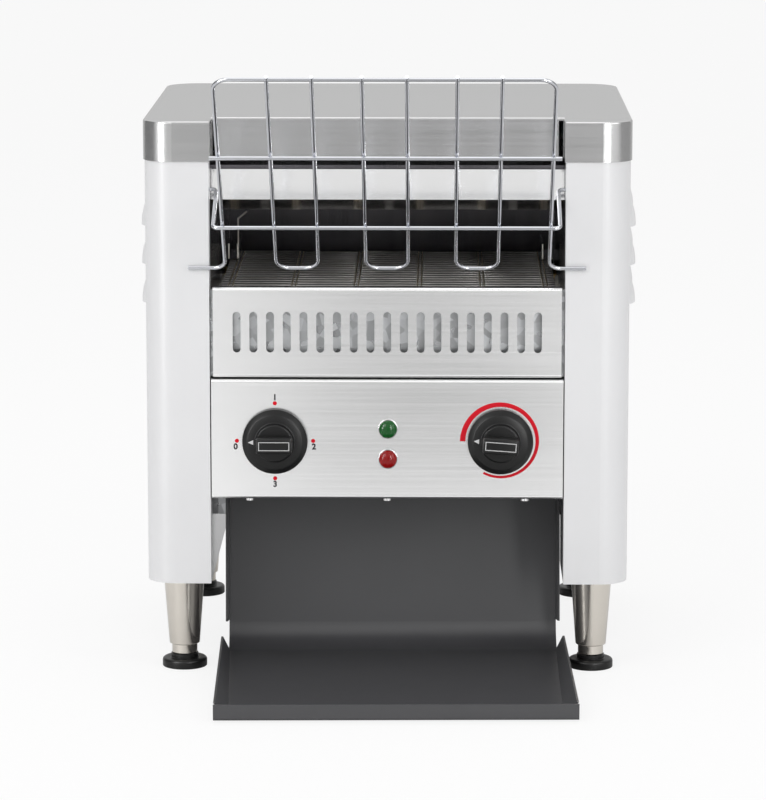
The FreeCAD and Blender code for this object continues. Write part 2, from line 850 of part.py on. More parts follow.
def conveyor_belt():
    half = belt_half
    band = cut(loop_block(s.belt_radius + s.belt_wire / 2, half),
               loop_block(s.belt_radius - s.belt_wire / 2, half + 1))
    run = drive_shaft_depth - front_shaft_depth
    rows = int(run.value // s.belt_pitch.value)
    margin = (run - rows * s.belt_pitch) / 2
    gaps = []
    strips = int(s.belt_strips.value)
    for strip in range(strips):
        low_x = (strip - strips / 2) * belt_strip + s.belt_wire / 2
        for index in range(rows):
            low_y = at(front_shaft_depth) + margin + index * s.belt_pitch + s.belt_wire / 2
            gaps.append(box((low_x, low_y, shaft_height - s.belt_radius - s.belt_wire),
                            (low_x + belt_strip - s.belt_wire, low_y + s.belt_pitch - s.belt_wire,
                             shaft_height + s.belt_radius + s.belt_wire)))
    keep(cut(band, *gaps), "conveyor_belt")


def toothed_disc(tip, root, thick, teeth, bore):
    """A flat sprocket about the X axis, from x = 0 to thick."""
    points = []
    for index in range(teeth):
        for share, radius in ((-0.30, root), (-0.12, tip), (0.12, tip), (0.30, root)):
            angle = 2 * math.pi * (index + share) / teeth
            points.append(Vector(0, radius * math.cos(angle), radius * math.sin(angle)))
    face = Part.Face(Part.makePolygon(points + points[:1]))
    disc = face.extrude(Vector(thick, 0, 0))
    return disc.cut(Part.makeCylinder(bore, thick + 2, Vector(-1, 0, 0), Vector(1, 0, 0)))


def belt_sprockets(depth, label):
    """Toothed wheels that carry the belt from inside, pressed on the shaft."""
    tip = (s.belt_radius - s.belt_wire / 2 - s.sprocket_tip_gap).value
    discs = []
    for index in (-1, 0, 1):
        disc = toothed_disc(tip, tip - s.sprocket_tooth.value, s.sprocket_thick.value,
                            int(s.sprocket_teeth.value), s.shaft_radius.value)
        across = (index * 2 * belt_strip - s.sprocket_thick / 2).value
        disc.translate(Vector(across, at(depth).value, shaft_height.value))
        discs.append(disc)
    feature(Part.makeCompound(discs), label)


def shaft(depth, right_overhang, label):
    left = -(half_bay + s.skin + s.shaft_overhang)
    right = half_bay + s.skin + right_overhang
    keep(cylinder((left, at(depth), shaft_height), s.shaft_radius, right - left, "x"), label)


def shaft_bushes():
    rings = []
    for y, z in shaft_places():
        for wall in (half_bay, -half_bay - s.skin):
            start = wall + s.skin / 2 - s.bush_length / 2
            rings.append(ring((start, y, z), s.bush_radius, s.shaft_radius + s.running_gap,
                              s.bush_length, "x"))
    keep(group(*rings), "shaft_bushes")


# Chain drive
def chain_sprocket(radius, teeth, bore, depth, height, label):
    tip = radius.value
    disc = toothed_disc(tip, tip - s.chain_tooth.value, s.chain_width.value / 2,
                        int(teeth.value), bore.value)
    disc.translate(Vector((chain_across - s.chain_width / 4).value, at(depth).value, height.value))
    feature(disc, label)


def belt_face(centre_a, radius_a, centre_b, radius_b):
    """The filled outline of a band round two wheels, in the YZ plane."""
    line = centre_b - centre_a
    span = line.Length
    heading = math.atan2(line.z, line.y)
    lean = math.acos((radius_a - radius_b) / span)

    def rim(centre, radius, angle):
        return centre + Vector(0, radius * math.cos(angle), radius * math.sin(angle))

    start_a, end_a = rim(centre_a, radius_a, heading + lean), rim(centre_a, radius_a, heading - lean)
    start_b, end_b = rim(centre_b, radius_b, heading - lean), rim(centre_b, radius_b, heading + lean)
    edges = [Part.Arc(start_a, rim(centre_a, radius_a, heading + math.pi), end_a).toShape(),
             Part.LineSegment(end_a, start_b).toShape(),
             Part.Arc(start_b, rim(centre_b, radius_b, heading), end_b).toShape(),
             Part.LineSegment(end_b, start_a).toShape()]
    return Part.Face(Part.Wire(edges))


def drive_chain():
    low = (chain_across - s.chain_width / 2).value
    motor = Vector(low, at(motor_depth).value, motor_height.value)
    driven = Vector(low, at(drive_shaft_depth).value, shaft_height.value)
    small = (s.small_sprocket_radius + s.chain_gap).value
    large = (s.large_sprocket_radius + s.chain_gap).value
    thick = s.chain_thick.value
    width = Vector(s.chain_width.value, 0, 0)
    outside = belt_face(motor, small + thick, driven, large + thick).extrude(width)
    inside = belt_face(motor, small, driven, large).extrude(width)
    feature(outside.cut(inside), "drive_chain")


def gear_motor():
    wall = half_bay
    y, z = at(motor_depth), motor_height
    gearbox = cylinder((wall - s.gearbox_length, y, z), s.gearbox_radius, s.gearbox_length, "x")
    can = cylinder((wall - s.gearbox_length - s.motor_length, y, z), s.motor_radius, s.motor_length, "x")
    bore = cylinder((wall - s.motor_stem_grip - 1, y, z), s.motor_stem_radius + s.running_gap,
                    s.motor_stem_grip + 2, "x")
    keep(cut(fuse(gearbox, can), bore), "gear_motor")
    stem_end = chain_across + s.chain_width
    keep(cylinder((wall - s.motor_stem_grip, y, z), s.motor_stem_radius,
                  stem_end - wall + s.motor_stem_grip, "x"), "motor_stem")


# Heating
def heating_elements():
    half = half_bay + s.skin + s.element_overhang
    for index, (y, z) in enumerate(element_places()):
        name = "upper" if index < 3 else "lower"
        keep(cylinder((-half, y, z), s.element_radius, 2 * half, "x"), f"{name}_element_{index % 3 + 1}")


def element_insulators():
    rings = []
    for y, z in element_places():
        for wall in (half_bay, -half_bay - s.skin):
            start = wall + s.skin / 2 - s.insulator_length / 2
            rings.append(ring((start, y, z), s.insulator_radius, s.element_radius + s.element_gap,
                              s.insulator_length, "x"))
    keep(group(*rings), "element_insulators")


def sheet_profile(points, label):
    """A bent sheet across the bay: closed outline in the YZ plane."""
    half = half_bay - s.seam
    return keep(padded("YZ_Plane", points, -half, 2 * half), label)


def upper_reflector():
    front, rear = at(s.reflector_front), at(reflector_rear)
    low, high = reflector_bottom, reflector_top
    sheet_profile([(front, low), (front + s.skin, low), (front + s.skin, high - s.skin),
                   (rear - s.skin, high - s.skin), (rear - s.skin, low), (rear, low), (rear, high),
                   (front - s.reflector_eave, high), (front - s.reflector_eave, high - s.skin),
                   (front, high - s.skin)], "upper_reflector")


def front_deflector():
    """The polished plate above the inlet, with its nose bent back under."""
    top, nose = at(s.deflector_top_depth), at(s.deflector_nose_depth)
    nose_height = reflector_bottom + s.deflector_nose_lift
    back = at(s.reflector_front)
    sheet_profile([(top, deflector_top), (nose, nose_height), (back, reflector_bottom),
                   (back, reflector_bottom + 2 * s.skin), (nose + 1.5 * s.skin, nose_height),
                   (top + 1.2 * s.skin, deflector_top - s.skin),
                   (top + s.deflector_hem, deflector_top - s.skin),
                   (top + s.deflector_hem, deflector_top)], "front_deflector")


def lower_heat_shield():
    front = at(s.slot_flange) + s.skin
    rear = at(drive_shaft_depth) + s.heat_shield_tail
    level = heat_shield_height
    sheet_profile(rectangle(front, level, rear, level + s.skin), "lower_heat_shield")


def rear_deflector():
    depth = at(rear_plate_depth)
    low = chute_rear_height + 3 * s.skin
    high = reflector_bottom
    sheet_profile([(depth, low), (depth + s.skin, low), (depth + s.skin, high),
                   (at(reflector_rear), high), (at(reflector_rear), high - s.skin),
                   (depth, high - s.skin)], "rear_deflector")


def inner_chute():
    """The sloping sheet that brings the toast forward under the belt."""
    front, rear = at(s.pan_front + s.chute_setback), at(rear_plate_depth)
    low, high = chute_front_height, chute_rear_height
    sheet_profile([(front, low), (rear, high), (rear, high + s.skin), (front, low + s.skin)],
                  "inner_chute")


def bottom_pan():
    front, rear = at(s.pan_front), at(s.body_depth) - s.skin
    low = pan_height
    sheet_profile([(front, low), (rear, low), (rear, low + s.skin), (front + s.skin, low + s.skin),
                   (front + s.skin, pan_front_height), (front, pan_front_height)],
                  "bottom_pan")


# Rear fittings
def cable_gland():
    rear = at(s.body_depth)
    flange = cylinder((s.gland_across, rear, (pan_height + s.gland_lift)), s.gland_flange, s.gland_out / 3, "y")
    nose = cone((s.gland_across, rear + s.gland_out / 3, (pan_height + s.gland_lift)), s.gland_flange - 2,
                s.gland_body - 1, s.gland_out * 2 / 3, "y")
    barrel = cylinder((s.gland_across, rear - s.gland_in, (pan_height + s.gland_lift)), s.gland_body, s.gland_in, "y")
    bore = cylinder((s.gland_across, rear - s.gland_in - 1, (pan_height + s.gland_lift)), s.gland_bore,
                    s.gland_in + s.gland_out + 2, "y")
    keep(cut(fuse(flange, nose, barrel), bore), "cable_gland")


def fan():
    rear = at(s.body_depth) - s.skin
    front = rear - s.fan_depth
    half = s.fan_side / 2
    centre = pan_height + s.skin + half
    frame = box((s.fan_across - half, front, centre - half), (s.fan_across + half, rear, centre + half))
    bore = cylinder((s.fan_across, front - 1, centre), s.fan_bore, s.fan_depth + 2, "y")
    strut_low = rear - 3
    strut = box((s.fan_across - half, strut_low, centre - 4), (s.fan_across + half, rear, centre + 4))
    stem_set = s.fan_setback + s.fan_hub_cap + 0.3
    stem = cylinder((s.fan_across, front + stem_set, centre), s.fan_stem_radius,
                    s.fan_depth - stem_set, "y")
    keep(fuse(cut(frame, bore), strut, stem), "fan_frame")
    hub = s.fan_hub_radius.value
    reach = s.fan_bore.value - s.fan_blade_gap.value
    depth = s.fan_depth.value - 8
    wheel = Part.makeCylinder(hub, depth, Vector(), Vector(0, 1, 0))
    rim = Part.makeCylinder(reach, depth, Vector(), Vector(0, 1, 0))
    for index in range(int(s.fan_blades.value)):
        blade = Part.makeBox(reach, depth * 1.2, 1.4, Vector(0, -depth * 0.1, -0.7))
        blade.rotate(Vector(0, depth / 2, 0), Vector(1, 0, 0), 38)
        blade.rotate(Vector(), Vector(0, 1, 0), 360 * index / s.fan_blades.value)
        wheel = wheel.fuse(blade.common(rim))
    gap = s.running_gap.value
    wheel = wheel.cut(Part.makeCylinder(s.fan_stem_radius.value + gap, depth, Vector(0, s.fan_hub_cap.value, 0),
                                        Vector(0, 1, 0)))
    wheel.translate(Vector(s.fan_across.value, front.value + s.fan_setback.value, centre.value))
    feature(wheel.removeSplitter(), "fan_rotor")


# Legs and feet
def leg_places():
    across = half_body - s.leg_inset
    front = at(s.leg_inset)
    rear = at(s.body_depth) - s.leg_inset
    return [("front_left", -across, front), ("front_right", across, front),
            ("rear_left", -across, rear), ("rear_right", across, rear)]


def leg(name, x, y):
    taper = cone((x, y, s.leg_end_height), s.leg_end_radius, s.leg_top_radius,
                 s.body_bottom - s.leg_end_height)
    neck = cylinder((x, y, s.neck_end_height), s.neck_radius, s.leg_end_height - s.neck_end_height)
    bore = cylinder((x, y, s.neck_end_height - 1), s.foot_stem_radius + s.running_gap,
                    s.foot_stem_length + 3)
    keep(cut(fuse(taper, neck), bore), f"{name}_leg")


def foot(name, x, y):
    tread = s.foot_height - s.foot_rounding
    pad = cylinder((x, y, 0), s.foot_radius, tread)
    crown = cone((x, y, tread), s.foot_radius, s.foot_radius - s.foot_rounding, s.foot_rounding)
    collar_top = s.neck_end_height - s.foot_seat_gap
    collar = cylinder((x, y, s.foot_height), s.collar_radius, collar_top - s.foot_height)
    stem = cylinder((x, y, s.foot_height), s.foot_stem_radius, s.foot_stem_length)
    keep(fuse(pad, crown, collar, stem), f"{name}_foot")


# Discharge slide
def bent_sheet(points, radii, thick):
    """A strip of sheet along a bent path in the YZ plane, as a closed face."""
    path = rounded_path([Vector(0, y, z) for y, z in points], radii)
    return path.makeOffset2D(thick, join=0, fill=True, openResult=True)


def rounded_path(points, radii):
    """Straight runs joined by tangent arcs; radii are for the inner points."""
    edges = []
    start = points[0]
    for index in range(1, len(points) - 1):
        corner, radius = points[index], radii[index - 1]
        before = (corner - points[index - 1]).normalize()
        after = (points[index + 1] - corner).normalize()
        turn = before.getAngle(after)
        reach = radius * math.tan(turn / 2)
        arc_start, arc_end = corner - before * reach, corner + after * reach
        bisector = (after - before).normalize()
        middle = corner + bisector * (radius / math.cos(turn / 2) - radius)
        edges.append(Part.LineSegment(start, arc_start).toShape())
        edges.append(Part.Arc(arc_start, middle, arc_end).toShape())
        start = arc_end
    edges.append(Part.LineSegment(start, points[-1]).toShape())
    return Part.Wire(edges)


def closed(*corners):
    return Part.makePolygon([*corners, corners[0]])


def side_wall_section(depth, root, top, low, high, thick):
    """The cut through a leaning side wall: four corners at one depth."""
    return closed(Vector(root, depth, low), Vector(top, depth, high), Vector(top - thick, depth, high),
                  Vector(root - thick, depth, low))


def back_wall_section(height, root, top, rear, front, thick):
    """The cut through the steep part's side wall: four corners at one height."""
    return closed(Vector(root, rear, height), Vector(top, front, height),
                  Vector(top - thick, front, height), Vector(root - thick, rear, height))


def slide_plan(half, root, wide, rear, flange_rear, taper_end, front):
    """The slide's outline from above: it tapers forward and ends in a wider lip."""
    right = [(half, rear), (half, flange_rear), (root, taper_end),
             (root, front + s.slide_lip_ledge.value), (wide, front + s.slide_lip_ledge.value),
             (wide, front - s.slide_lip_ledge.value)]
    outline = right + [(-x, y) for x, y in reversed(right)]
    return Part.Face(closed(*[Vector(x, y, -s.slide_trim.value) for x, y in outline]))


def discharge_slide():
    half = slide_half.value
    sheet_thick = s.slide_sheet.value
    hook_height = (pan_front_height + s.slide_hook_gap).value
    back, bend = at(s.slide_back_depth).value, at(s.slide_bend_depth).value
    front, flange_rear = at(s.slide_front_depth).value, at(s.slide_flange_rear).value
    floor_front, floor_bend = s.slide_front_height.value, s.slide_bend_height.value
    points = [(back + s.slide_hook.value, hook_height), (back, hook_height), (bend, floor_bend),
              (front, floor_front), (front, floor_front + s.slide_lip.value)]
    radii = [2.5, s.slide_bend_radius.value, 2.0]
    root = half - s.slide_root_taper.value
    wide = root + s.slide_flare.value
    # the offset goes to the upper and rear side of the path
    path = rounded_path([Vector(-wide, y, z) for y, z in points], radii)
    strip = path.makeOffset2D(sheet_thick, join=0, fill=True, openResult=True)
    sheet_solid = Part.Face(strip.Wires[0]).extrude(Vector(2 * wide, 0, 0))
    trim = s.slide_trim.value
    taper_end = front + s.slide_lip_ledge.value + s.slide_notch.value
    plan = slide_plan(half, root, wide, back + trim, flange_rear, taper_end, front)
    body = sheet_solid.common(plan.extrude(Vector(0, 0, hook_height + 2 * trim)))
    rise = (floor_bend - floor_front) / (bend - front)
    rear_floor = floor_front + rise * (flange_rear - front)
    front_floor = floor_front + rise * (taper_end - front)
    lip = s.slide_lip.value
    lean = (back - bend) / (hook_height - floor_bend)
    low, high = s.slide_upper_low.value, hook_height - s.slide_upper_end.value
    for side in (-1, 1):
        inward = side * sheet_thick
        rear_cut = side_wall_section(flange_rear, side * half, side * (half + s.slide_rear_flare.value),
                                     rear_floor, rear_floor + lip, inward)
        front_cut = side_wall_section(taper_end, side * root, side * wide, front_floor,
                                      front_floor + lip, inward)
        cuts = []
        for height in (low, high):
            face = bend + lean * (height - floor_bend) + sheet_thick
            cuts.append(back_wall_section(height, side * half, side * (half + s.slide_upper_lean.value),
                                          face, face - s.slide_upper_rise.value, inward))
        body = body.fuse(Part.makeLoft([rear_cut, front_cut], True, True))
        body = body.fuse(Part.makeLoft(cuts, True, True))
    body = body.removeSplitter()
    body.rotate(Vector(0, back, 0), Vector(0, 0, 1), s.slide_skew.value)
    body.translate(Vector(s.slide_offset.value, 0, 0))
    feature(body, "discharge_slide")


# Feed rack
def bent_wire(points, radii, radius):
    """A round wire along a flat path, as one solid."""
    path = rounded_path(points, radii)
    start = points[0]
    heading = points[1] - points[0]
    profile = Part.Wire(Part.makeCircle(radius, start, heading))
    return path.makePipeShell([profile], True, False)


def feed_rack():
    radius = s.rack_wire.value / 2
    slope = math.radians(s.rack_slope.value)
    foot_y = at(0).value - radius - s.rack_gap.value
    foot_z = rack_foot_height.value
    layer = s.rack_wire.value - s.weld_bite.value

    def spot(across, up, out=0.0):
        """A point on the rack: across, up its slope and out from its underside."""
        return Vector(across, foot_y - up * math.cos(slope) - out * math.sin(slope),
                      foot_z + up * math.sin(slope) - out * math.cos(slope))

    top = s.rack_length.value
    half = rack_half.value
    reach = (half_bay + s.rack_hook_overlap).value
    hook, corner = s.rack_hook_bend.value, s.rack_corner.value
    frame = bent_wire([spot(-reach, 0), spot(-half, 0), spot(-half, top), spot(half, top), spot(half, 0),
                       spot(reach, 0)], [hook, corner, corner, hook], radius)
    rack = frame
    loop_half, loop_bend = s.loop_width.value / 2, s.loop_bend.value
    tip = top + s.loop_tip.value
    for index in (-1, 0, 1):
        centre = index * (rack_half / s.loop_share).value
        left, right = centre - loop_half, centre + loop_half
        rack = rack.fuse(bent_wire([spot(left, tip), spot(left, 0), spot(right, 0), spot(right, tip)],
                                   [loop_bend, loop_bend], radius))
    middle = s.rack_mid_wire.value
    end = half + s.rack_mid_overhang.value
    cross = bent_wire([spot(-end, middle, layer), spot(end, middle, layer)], [], radius)
    low = spot(0, s.rack_low_wire.value, layer)
    pivot_y, pivot_z = at(s.pivot_depth).value, pivot_height.value
    arm, end = (half_bay - s.bail_side_gap).value, (half_bay + s.bail_overlap).value
    bend = s.bail_bend.value
    bail = bent_wire([Vector(-end, pivot_y, pivot_z), Vector(-arm, pivot_y, pivot_z),
                      Vector(-arm, low.y, low.z), Vector(arm, low.y, low.z),
                      Vector(arm, pivot_y, pivot_z), Vector(end, pivot_y, pivot_z)],
                     [bend] * 4, radius)
    rack = rack.fuse(cross).fuse(bail)
    feature(rack, "feed_rack")


def build():
    side_panels()
    top_cover()
    inner_wall(1)
    inner_wall(-1)
    base_plates()
    rear_panel()
    slotted_front_panel()
    control_panel()
    control_box()
    slot_backing_sheet()
    panel_screws()
    knob(s.selector_across, 0, "selector")
    knob(s.speed_across, s.speed_rest_angle, "speed")
    selector_switch()
    speed_controller()
    pilot_lamps()
    conveyor_belt()
    shaft(front_shaft_depth, s.shaft_overhang, "idler_shaft")
    shaft(drive_shaft_depth, s.drive_shaft_overhang, "drive_shaft")
    belt_sprockets(front_shaft_depth, "idler_belt_sprockets")
    belt_sprockets(drive_shaft_depth, "drive_belt_sprockets")
    shaft_bushes()
    chain_sprocket(s.large_sprocket_radius, s.large_sprocket_teeth, s.shaft_radius,
                   drive_shaft_depth, shaft_height, "driven_chain_sprocket")
    chain_sprocket(s.small_sprocket_radius, s.small_sprocket_teeth, s.motor_stem_radius,
                   motor_depth, motor_height, "motor_chain_sprocket")
    drive_chain()
    gear_motor()
    heating_elements()
    element_insulators()
    upper_reflector()
    front_deflector()
    lower_heat_shield()
    rear_deflector()
    inner_chute()
    bottom_pan()
    cable_gland()
    fan()
    for name, x, y in leg_places():
        leg(name, x, y)
        foot(name, x, y)
    discharge_slide()
    feed_rack()


def check_document():
    doc.recompute()
    for item in doc.Objects:
        if "Invalid" in item.State or "Error" in item.State:
            raise RuntimeError(f"{item.Name} {item.Label} is {item.State}")
    for item in SUBPARTS:
        if item.Shape.isNull() or not item.Shape.isValid():
            raise RuntimeError(f"{item.Label} has no valid shape")
    labels = [item.Label for item in SUBPARTS]
    if len(set(labels)) != len(labels):
        raise RuntimeError("two sub-parts share a label")


def write_parts():
    os.makedirs("parts", exist_ok=True)
    whole = None
    for item in SUBPARTS:
        item.Shape.exportStep(os.path.join("parts", f"{item.Label}.step"))
        bounds = item.Shape.BoundBox
        print(f"{item.Label}: {len(item.Shape.Solids)} solids, {item.Shape.Volume:.0f} mm3, "
              f"x {bounds.XMin:.1f} {bounds.XMax:.1f} y {bounds.YMin:.1f} {bounds.YMax:.1f} "
              f"z {bounds.ZMin:.1f} {bounds.ZMax:.1f}")
        whole = bounds if whole is None else whole.united(bounds)
    print(f"{len(SUBPARTS)} sub-parts, whole box {whole}")


build()
check_document()
write_parts()
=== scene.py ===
import json
import math

import bmesh
import bpy
from mathutils import Matrix, Vector

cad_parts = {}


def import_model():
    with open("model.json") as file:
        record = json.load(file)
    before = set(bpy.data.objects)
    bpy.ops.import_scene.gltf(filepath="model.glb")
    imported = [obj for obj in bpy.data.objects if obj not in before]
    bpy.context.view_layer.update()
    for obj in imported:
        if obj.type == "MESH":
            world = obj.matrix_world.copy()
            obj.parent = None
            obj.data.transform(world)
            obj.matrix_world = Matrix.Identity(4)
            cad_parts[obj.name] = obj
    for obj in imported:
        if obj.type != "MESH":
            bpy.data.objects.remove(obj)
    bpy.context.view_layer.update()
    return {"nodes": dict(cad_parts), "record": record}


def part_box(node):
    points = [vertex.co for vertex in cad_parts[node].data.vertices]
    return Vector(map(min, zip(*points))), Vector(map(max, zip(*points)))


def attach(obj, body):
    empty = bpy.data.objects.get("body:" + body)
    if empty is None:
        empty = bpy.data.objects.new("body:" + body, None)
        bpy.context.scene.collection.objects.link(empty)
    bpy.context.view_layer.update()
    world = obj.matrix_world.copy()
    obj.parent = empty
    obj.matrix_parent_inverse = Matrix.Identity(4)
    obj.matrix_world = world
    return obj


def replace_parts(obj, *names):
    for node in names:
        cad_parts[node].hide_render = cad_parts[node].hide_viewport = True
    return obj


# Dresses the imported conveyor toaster: metres, front towards -Y, Z up.
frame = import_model()
MM = 0.001
SLOT_OF = {part["node"]: part["material_slot"] for part in frame["record"]["subparts"]}


# Material building blocks
MIX_LOW, MIX_HIGH, MIX_RESULT = 6, 7, 2  # colour sockets of the Mix node


class Nodes:
    """A short way to add linked shader nodes to one material."""

    def __init__(self, name):
        self.material = bpy.data.materials.new(name)
        self.material.use_nodes = True
        self.tree = self.material.node_tree
        self.shader = self.tree.nodes["Principled BSDF"]

    def add(self, kind, inputs=None, **settings):
        node = self.tree.nodes.new(kind)
        for name, value in settings.items():
            setattr(node, name, value)
        for name, value in (inputs or {}).items():
            self.feed(node, name, value)
        return node

    def feed(self, node, name, value):
        """Link a socket to an input, or set the input to a plain value."""
        if isinstance(value, bpy.types.NodeSocket):
            self.tree.links.new(value, node.inputs[name])
        else:
            node.inputs[name].default_value = value

    def set(self, **values):
        """Feed the shader; an underscore stands for a space in the input's name."""
        for name, value in values.items():
            self.feed(self.shader, name.replace("_", " "), value)

    def position(self, scale=(1, 1, 1)):
        """The point on the object in metres, stretched by scale."""
        place = self.add("ShaderNodeTexCoord").outputs["Object"]
        return self.add("ShaderNodeMapping", {"Vector": place, "Scale": scale}).outputs["Vector"]

    def noise(self, vector, scale, detail=4.0, roughness=0.55):
        node = self.add("ShaderNodeTexNoise", {"Vector": vector, "Scale": scale, "Detail": detail,
                                               "Roughness": roughness})
        return node.outputs["Fac"]

    def between(self, factor, low, high):
        """Map a 0..1 factor to a number between low and high."""
        node = self.add("ShaderNodeMapRange", {"Value": factor, "To Min": low, "To Max": high})
        return node.outputs["Result"]

    def blend(self, factor, low, high):
        """Blend two colours by a factor."""
        node = self.add("ShaderNodeMix", data_type="RGBA")
        self.feed(node, "Factor", factor)
        self.feed(node, MIX_LOW, (*low, 1))
        self.feed(node, MIX_HIGH, (*high, 1))
        return node.outputs[MIX_RESULT]

    def multiply(self, first, second):
        return self.add("ShaderNodeMath", {0: first, 1: second}, operation="MULTIPLY").outputs[0]

    def bump(self, height, distance):
        return self.add("ShaderNodeBump", {"Height": height, "Distance": distance}).outputs["Normal"]


def grey(level):
    return (level, level, level)


def shade(colour, factor):
    """The colour made darker or lighter, and never past white."""
    return [min(1.0, level * factor) for level in colour]


def painted_metal(name, colour, roughness, grain=1400.0, bump=4e-6):
    """Sprayed enamel: faint orange peel, and faint clouds in its colour and gloss."""
    m = Nodes(name)
    peel = m.noise(m.position(), grain, detail=2.0)
    cloud = m.noise(m.position(), 14.0, detail=3.0)
    m.set(Base_Color=m.blend(cloud, shade(colour, 0.96), shade(colour, 1.03)),
          Roughness=m.between(cloud, roughness - 0.04, roughness + 0.05),
          Normal=m.bump(peel, bump))
    return m.material


def brushed_metal(name, colour, roughness, contrast, grain=(4.0, 700.0, 700.0)):
    """Stainless sheet whose grain runs along the axis with the smallest scale."""
    m = Nodes(name)
    fine = m.noise(m.position(grain), 1.0, detail=6.0, roughness=0.7)
    broad = m.noise(m.position([scale * 0.12 for scale in grain]), 1.0, detail=3.0)
    cloud = m.noise(m.position(), 9.0, detail=2.0)
    streaks = m.multiply(fine, m.between(broad, 0.8, 1.2))
    gloss = m.multiply(fine, m.between(cloud, 0.8, 1.2))
    m.set(Metallic=1.0,
          Base_Color=m.blend(streaks, shade(colour, 1 - contrast), shade(colour, 1 + contrast)),
          Roughness=m.between(gloss, roughness - 0.08, roughness + 0.08),
          Normal=m.bump(fine, 3e-6))
    return m.material


def bright_metal(name, colour, roughness):
    """Polished or plated metal with faint haze."""
    m = Nodes(name)
    haze = m.noise(m.position(), 60.0, detail=5.0)
    fine = m.noise(m.position(), 900.0, detail=2.0)
    m.set(Metallic=1.0, Base_Color=m.blend(haze, shade(colour, 0.95), colour),
          Roughness=m.between(haze, roughness, roughness + 0.05), Normal=m.bump(fine, 8e-7))
    return m.material


def moulded(name, colour, roughness, gloss=0.5):
    """Moulded plastic, rubber or ceramic with a fine grain."""
    m = Nodes(name)
    fine = m.noise(m.position(), 1800.0, detail=3.0)
    cloud = m.noise(m.position(), 40.0, detail=3.0)
    m.set(Base_Color=m.blend(cloud, shade(colour, 0.85), shade(colour, 1.15)),
          Roughness=m.between(cloud, roughness - 0.05, roughness + 0.06),
          Normal=m.bump(fine, 6e-6), Specular_IOR_Level=gloss)
    return m.material


def spangled(name, colour):
    """Hot-dip galvanised sheet: crystal spangles of unlike brightness."""
    m = Nodes(name)
    cells = m.add("ShaderNodeTexVoronoi", {"Vector": m.position(), "Scale": 150.0, "Randomness": 1.0})
    split = m.add("ShaderNodeSeparateColor", {"Color": cells.outputs["Color"]})
    haze = m.noise(m.position(), 35.0, detail=5.0)
    m.set(Metallic=1.0,
          Base_Color=m.blend(split.outputs["Red"], shade(colour, 0.72), shade(colour, 1.22)),
          Roughness=m.between(m.multiply(haze, split.outputs["Green"]), 0.26, 0.52))
    return m.material


def heat_tinted(name, colour, tint):
    """Wire that the heat has darkened in patches."""
    m = Nodes(name)
    patches = m.noise(m.position(), 55.0, detail=4.0)
    fine = m.noise(m.position(), 700.0, detail=3.0)
    m.set(Metallic=1.0, Base_Color=m.blend(patches, colour, tint),
          Roughness=m.between(fine, 0.3, 0.5), Normal=m.bump(fine, 4e-6))
    return m.material


def clear_plastic(name, colour):
    """A tinted lens over a dark lamp."""
    m = Nodes(name)
    cloud = m.noise(m.position(), 160.0, detail=2.0)
    m.set(Base_Color=m.blend(cloud, shade(colour, 0.8), colour), Roughness=0.10,
          Transmission_Weight=0.2, IOR=1.45, Specular_IOR_Level=0.35)
    return m.material


def frosted_quartz(name):
    """A frosted tube that shows its heating coil as rings of unlike brightness."""
    m = Nodes(name)
    coil = m.noise(m.position((260.0, 1.0, 1.0)), 1.0, detail=1.0)
    m.set(Base_Color=m.blend(coil, (0.42, 0.38, 0.33), (0.85, 0.82, 0.77)), Roughness=0.3,
          Coat_Weight=0.5, Coat_Roughness=0.1)
    return m.material


def ink(name, colour):
    """Screen-printed ink, slightly uneven."""
    m = Nodes(name)
    cover = m.noise(m.position(), 900.0, detail=3.0)
    m.set(Base_Color=m.blend(cover, shade(colour, 0.9), colour), Roughness=0.6,
          Specular_IOR_Level=0.15)
    return m.material


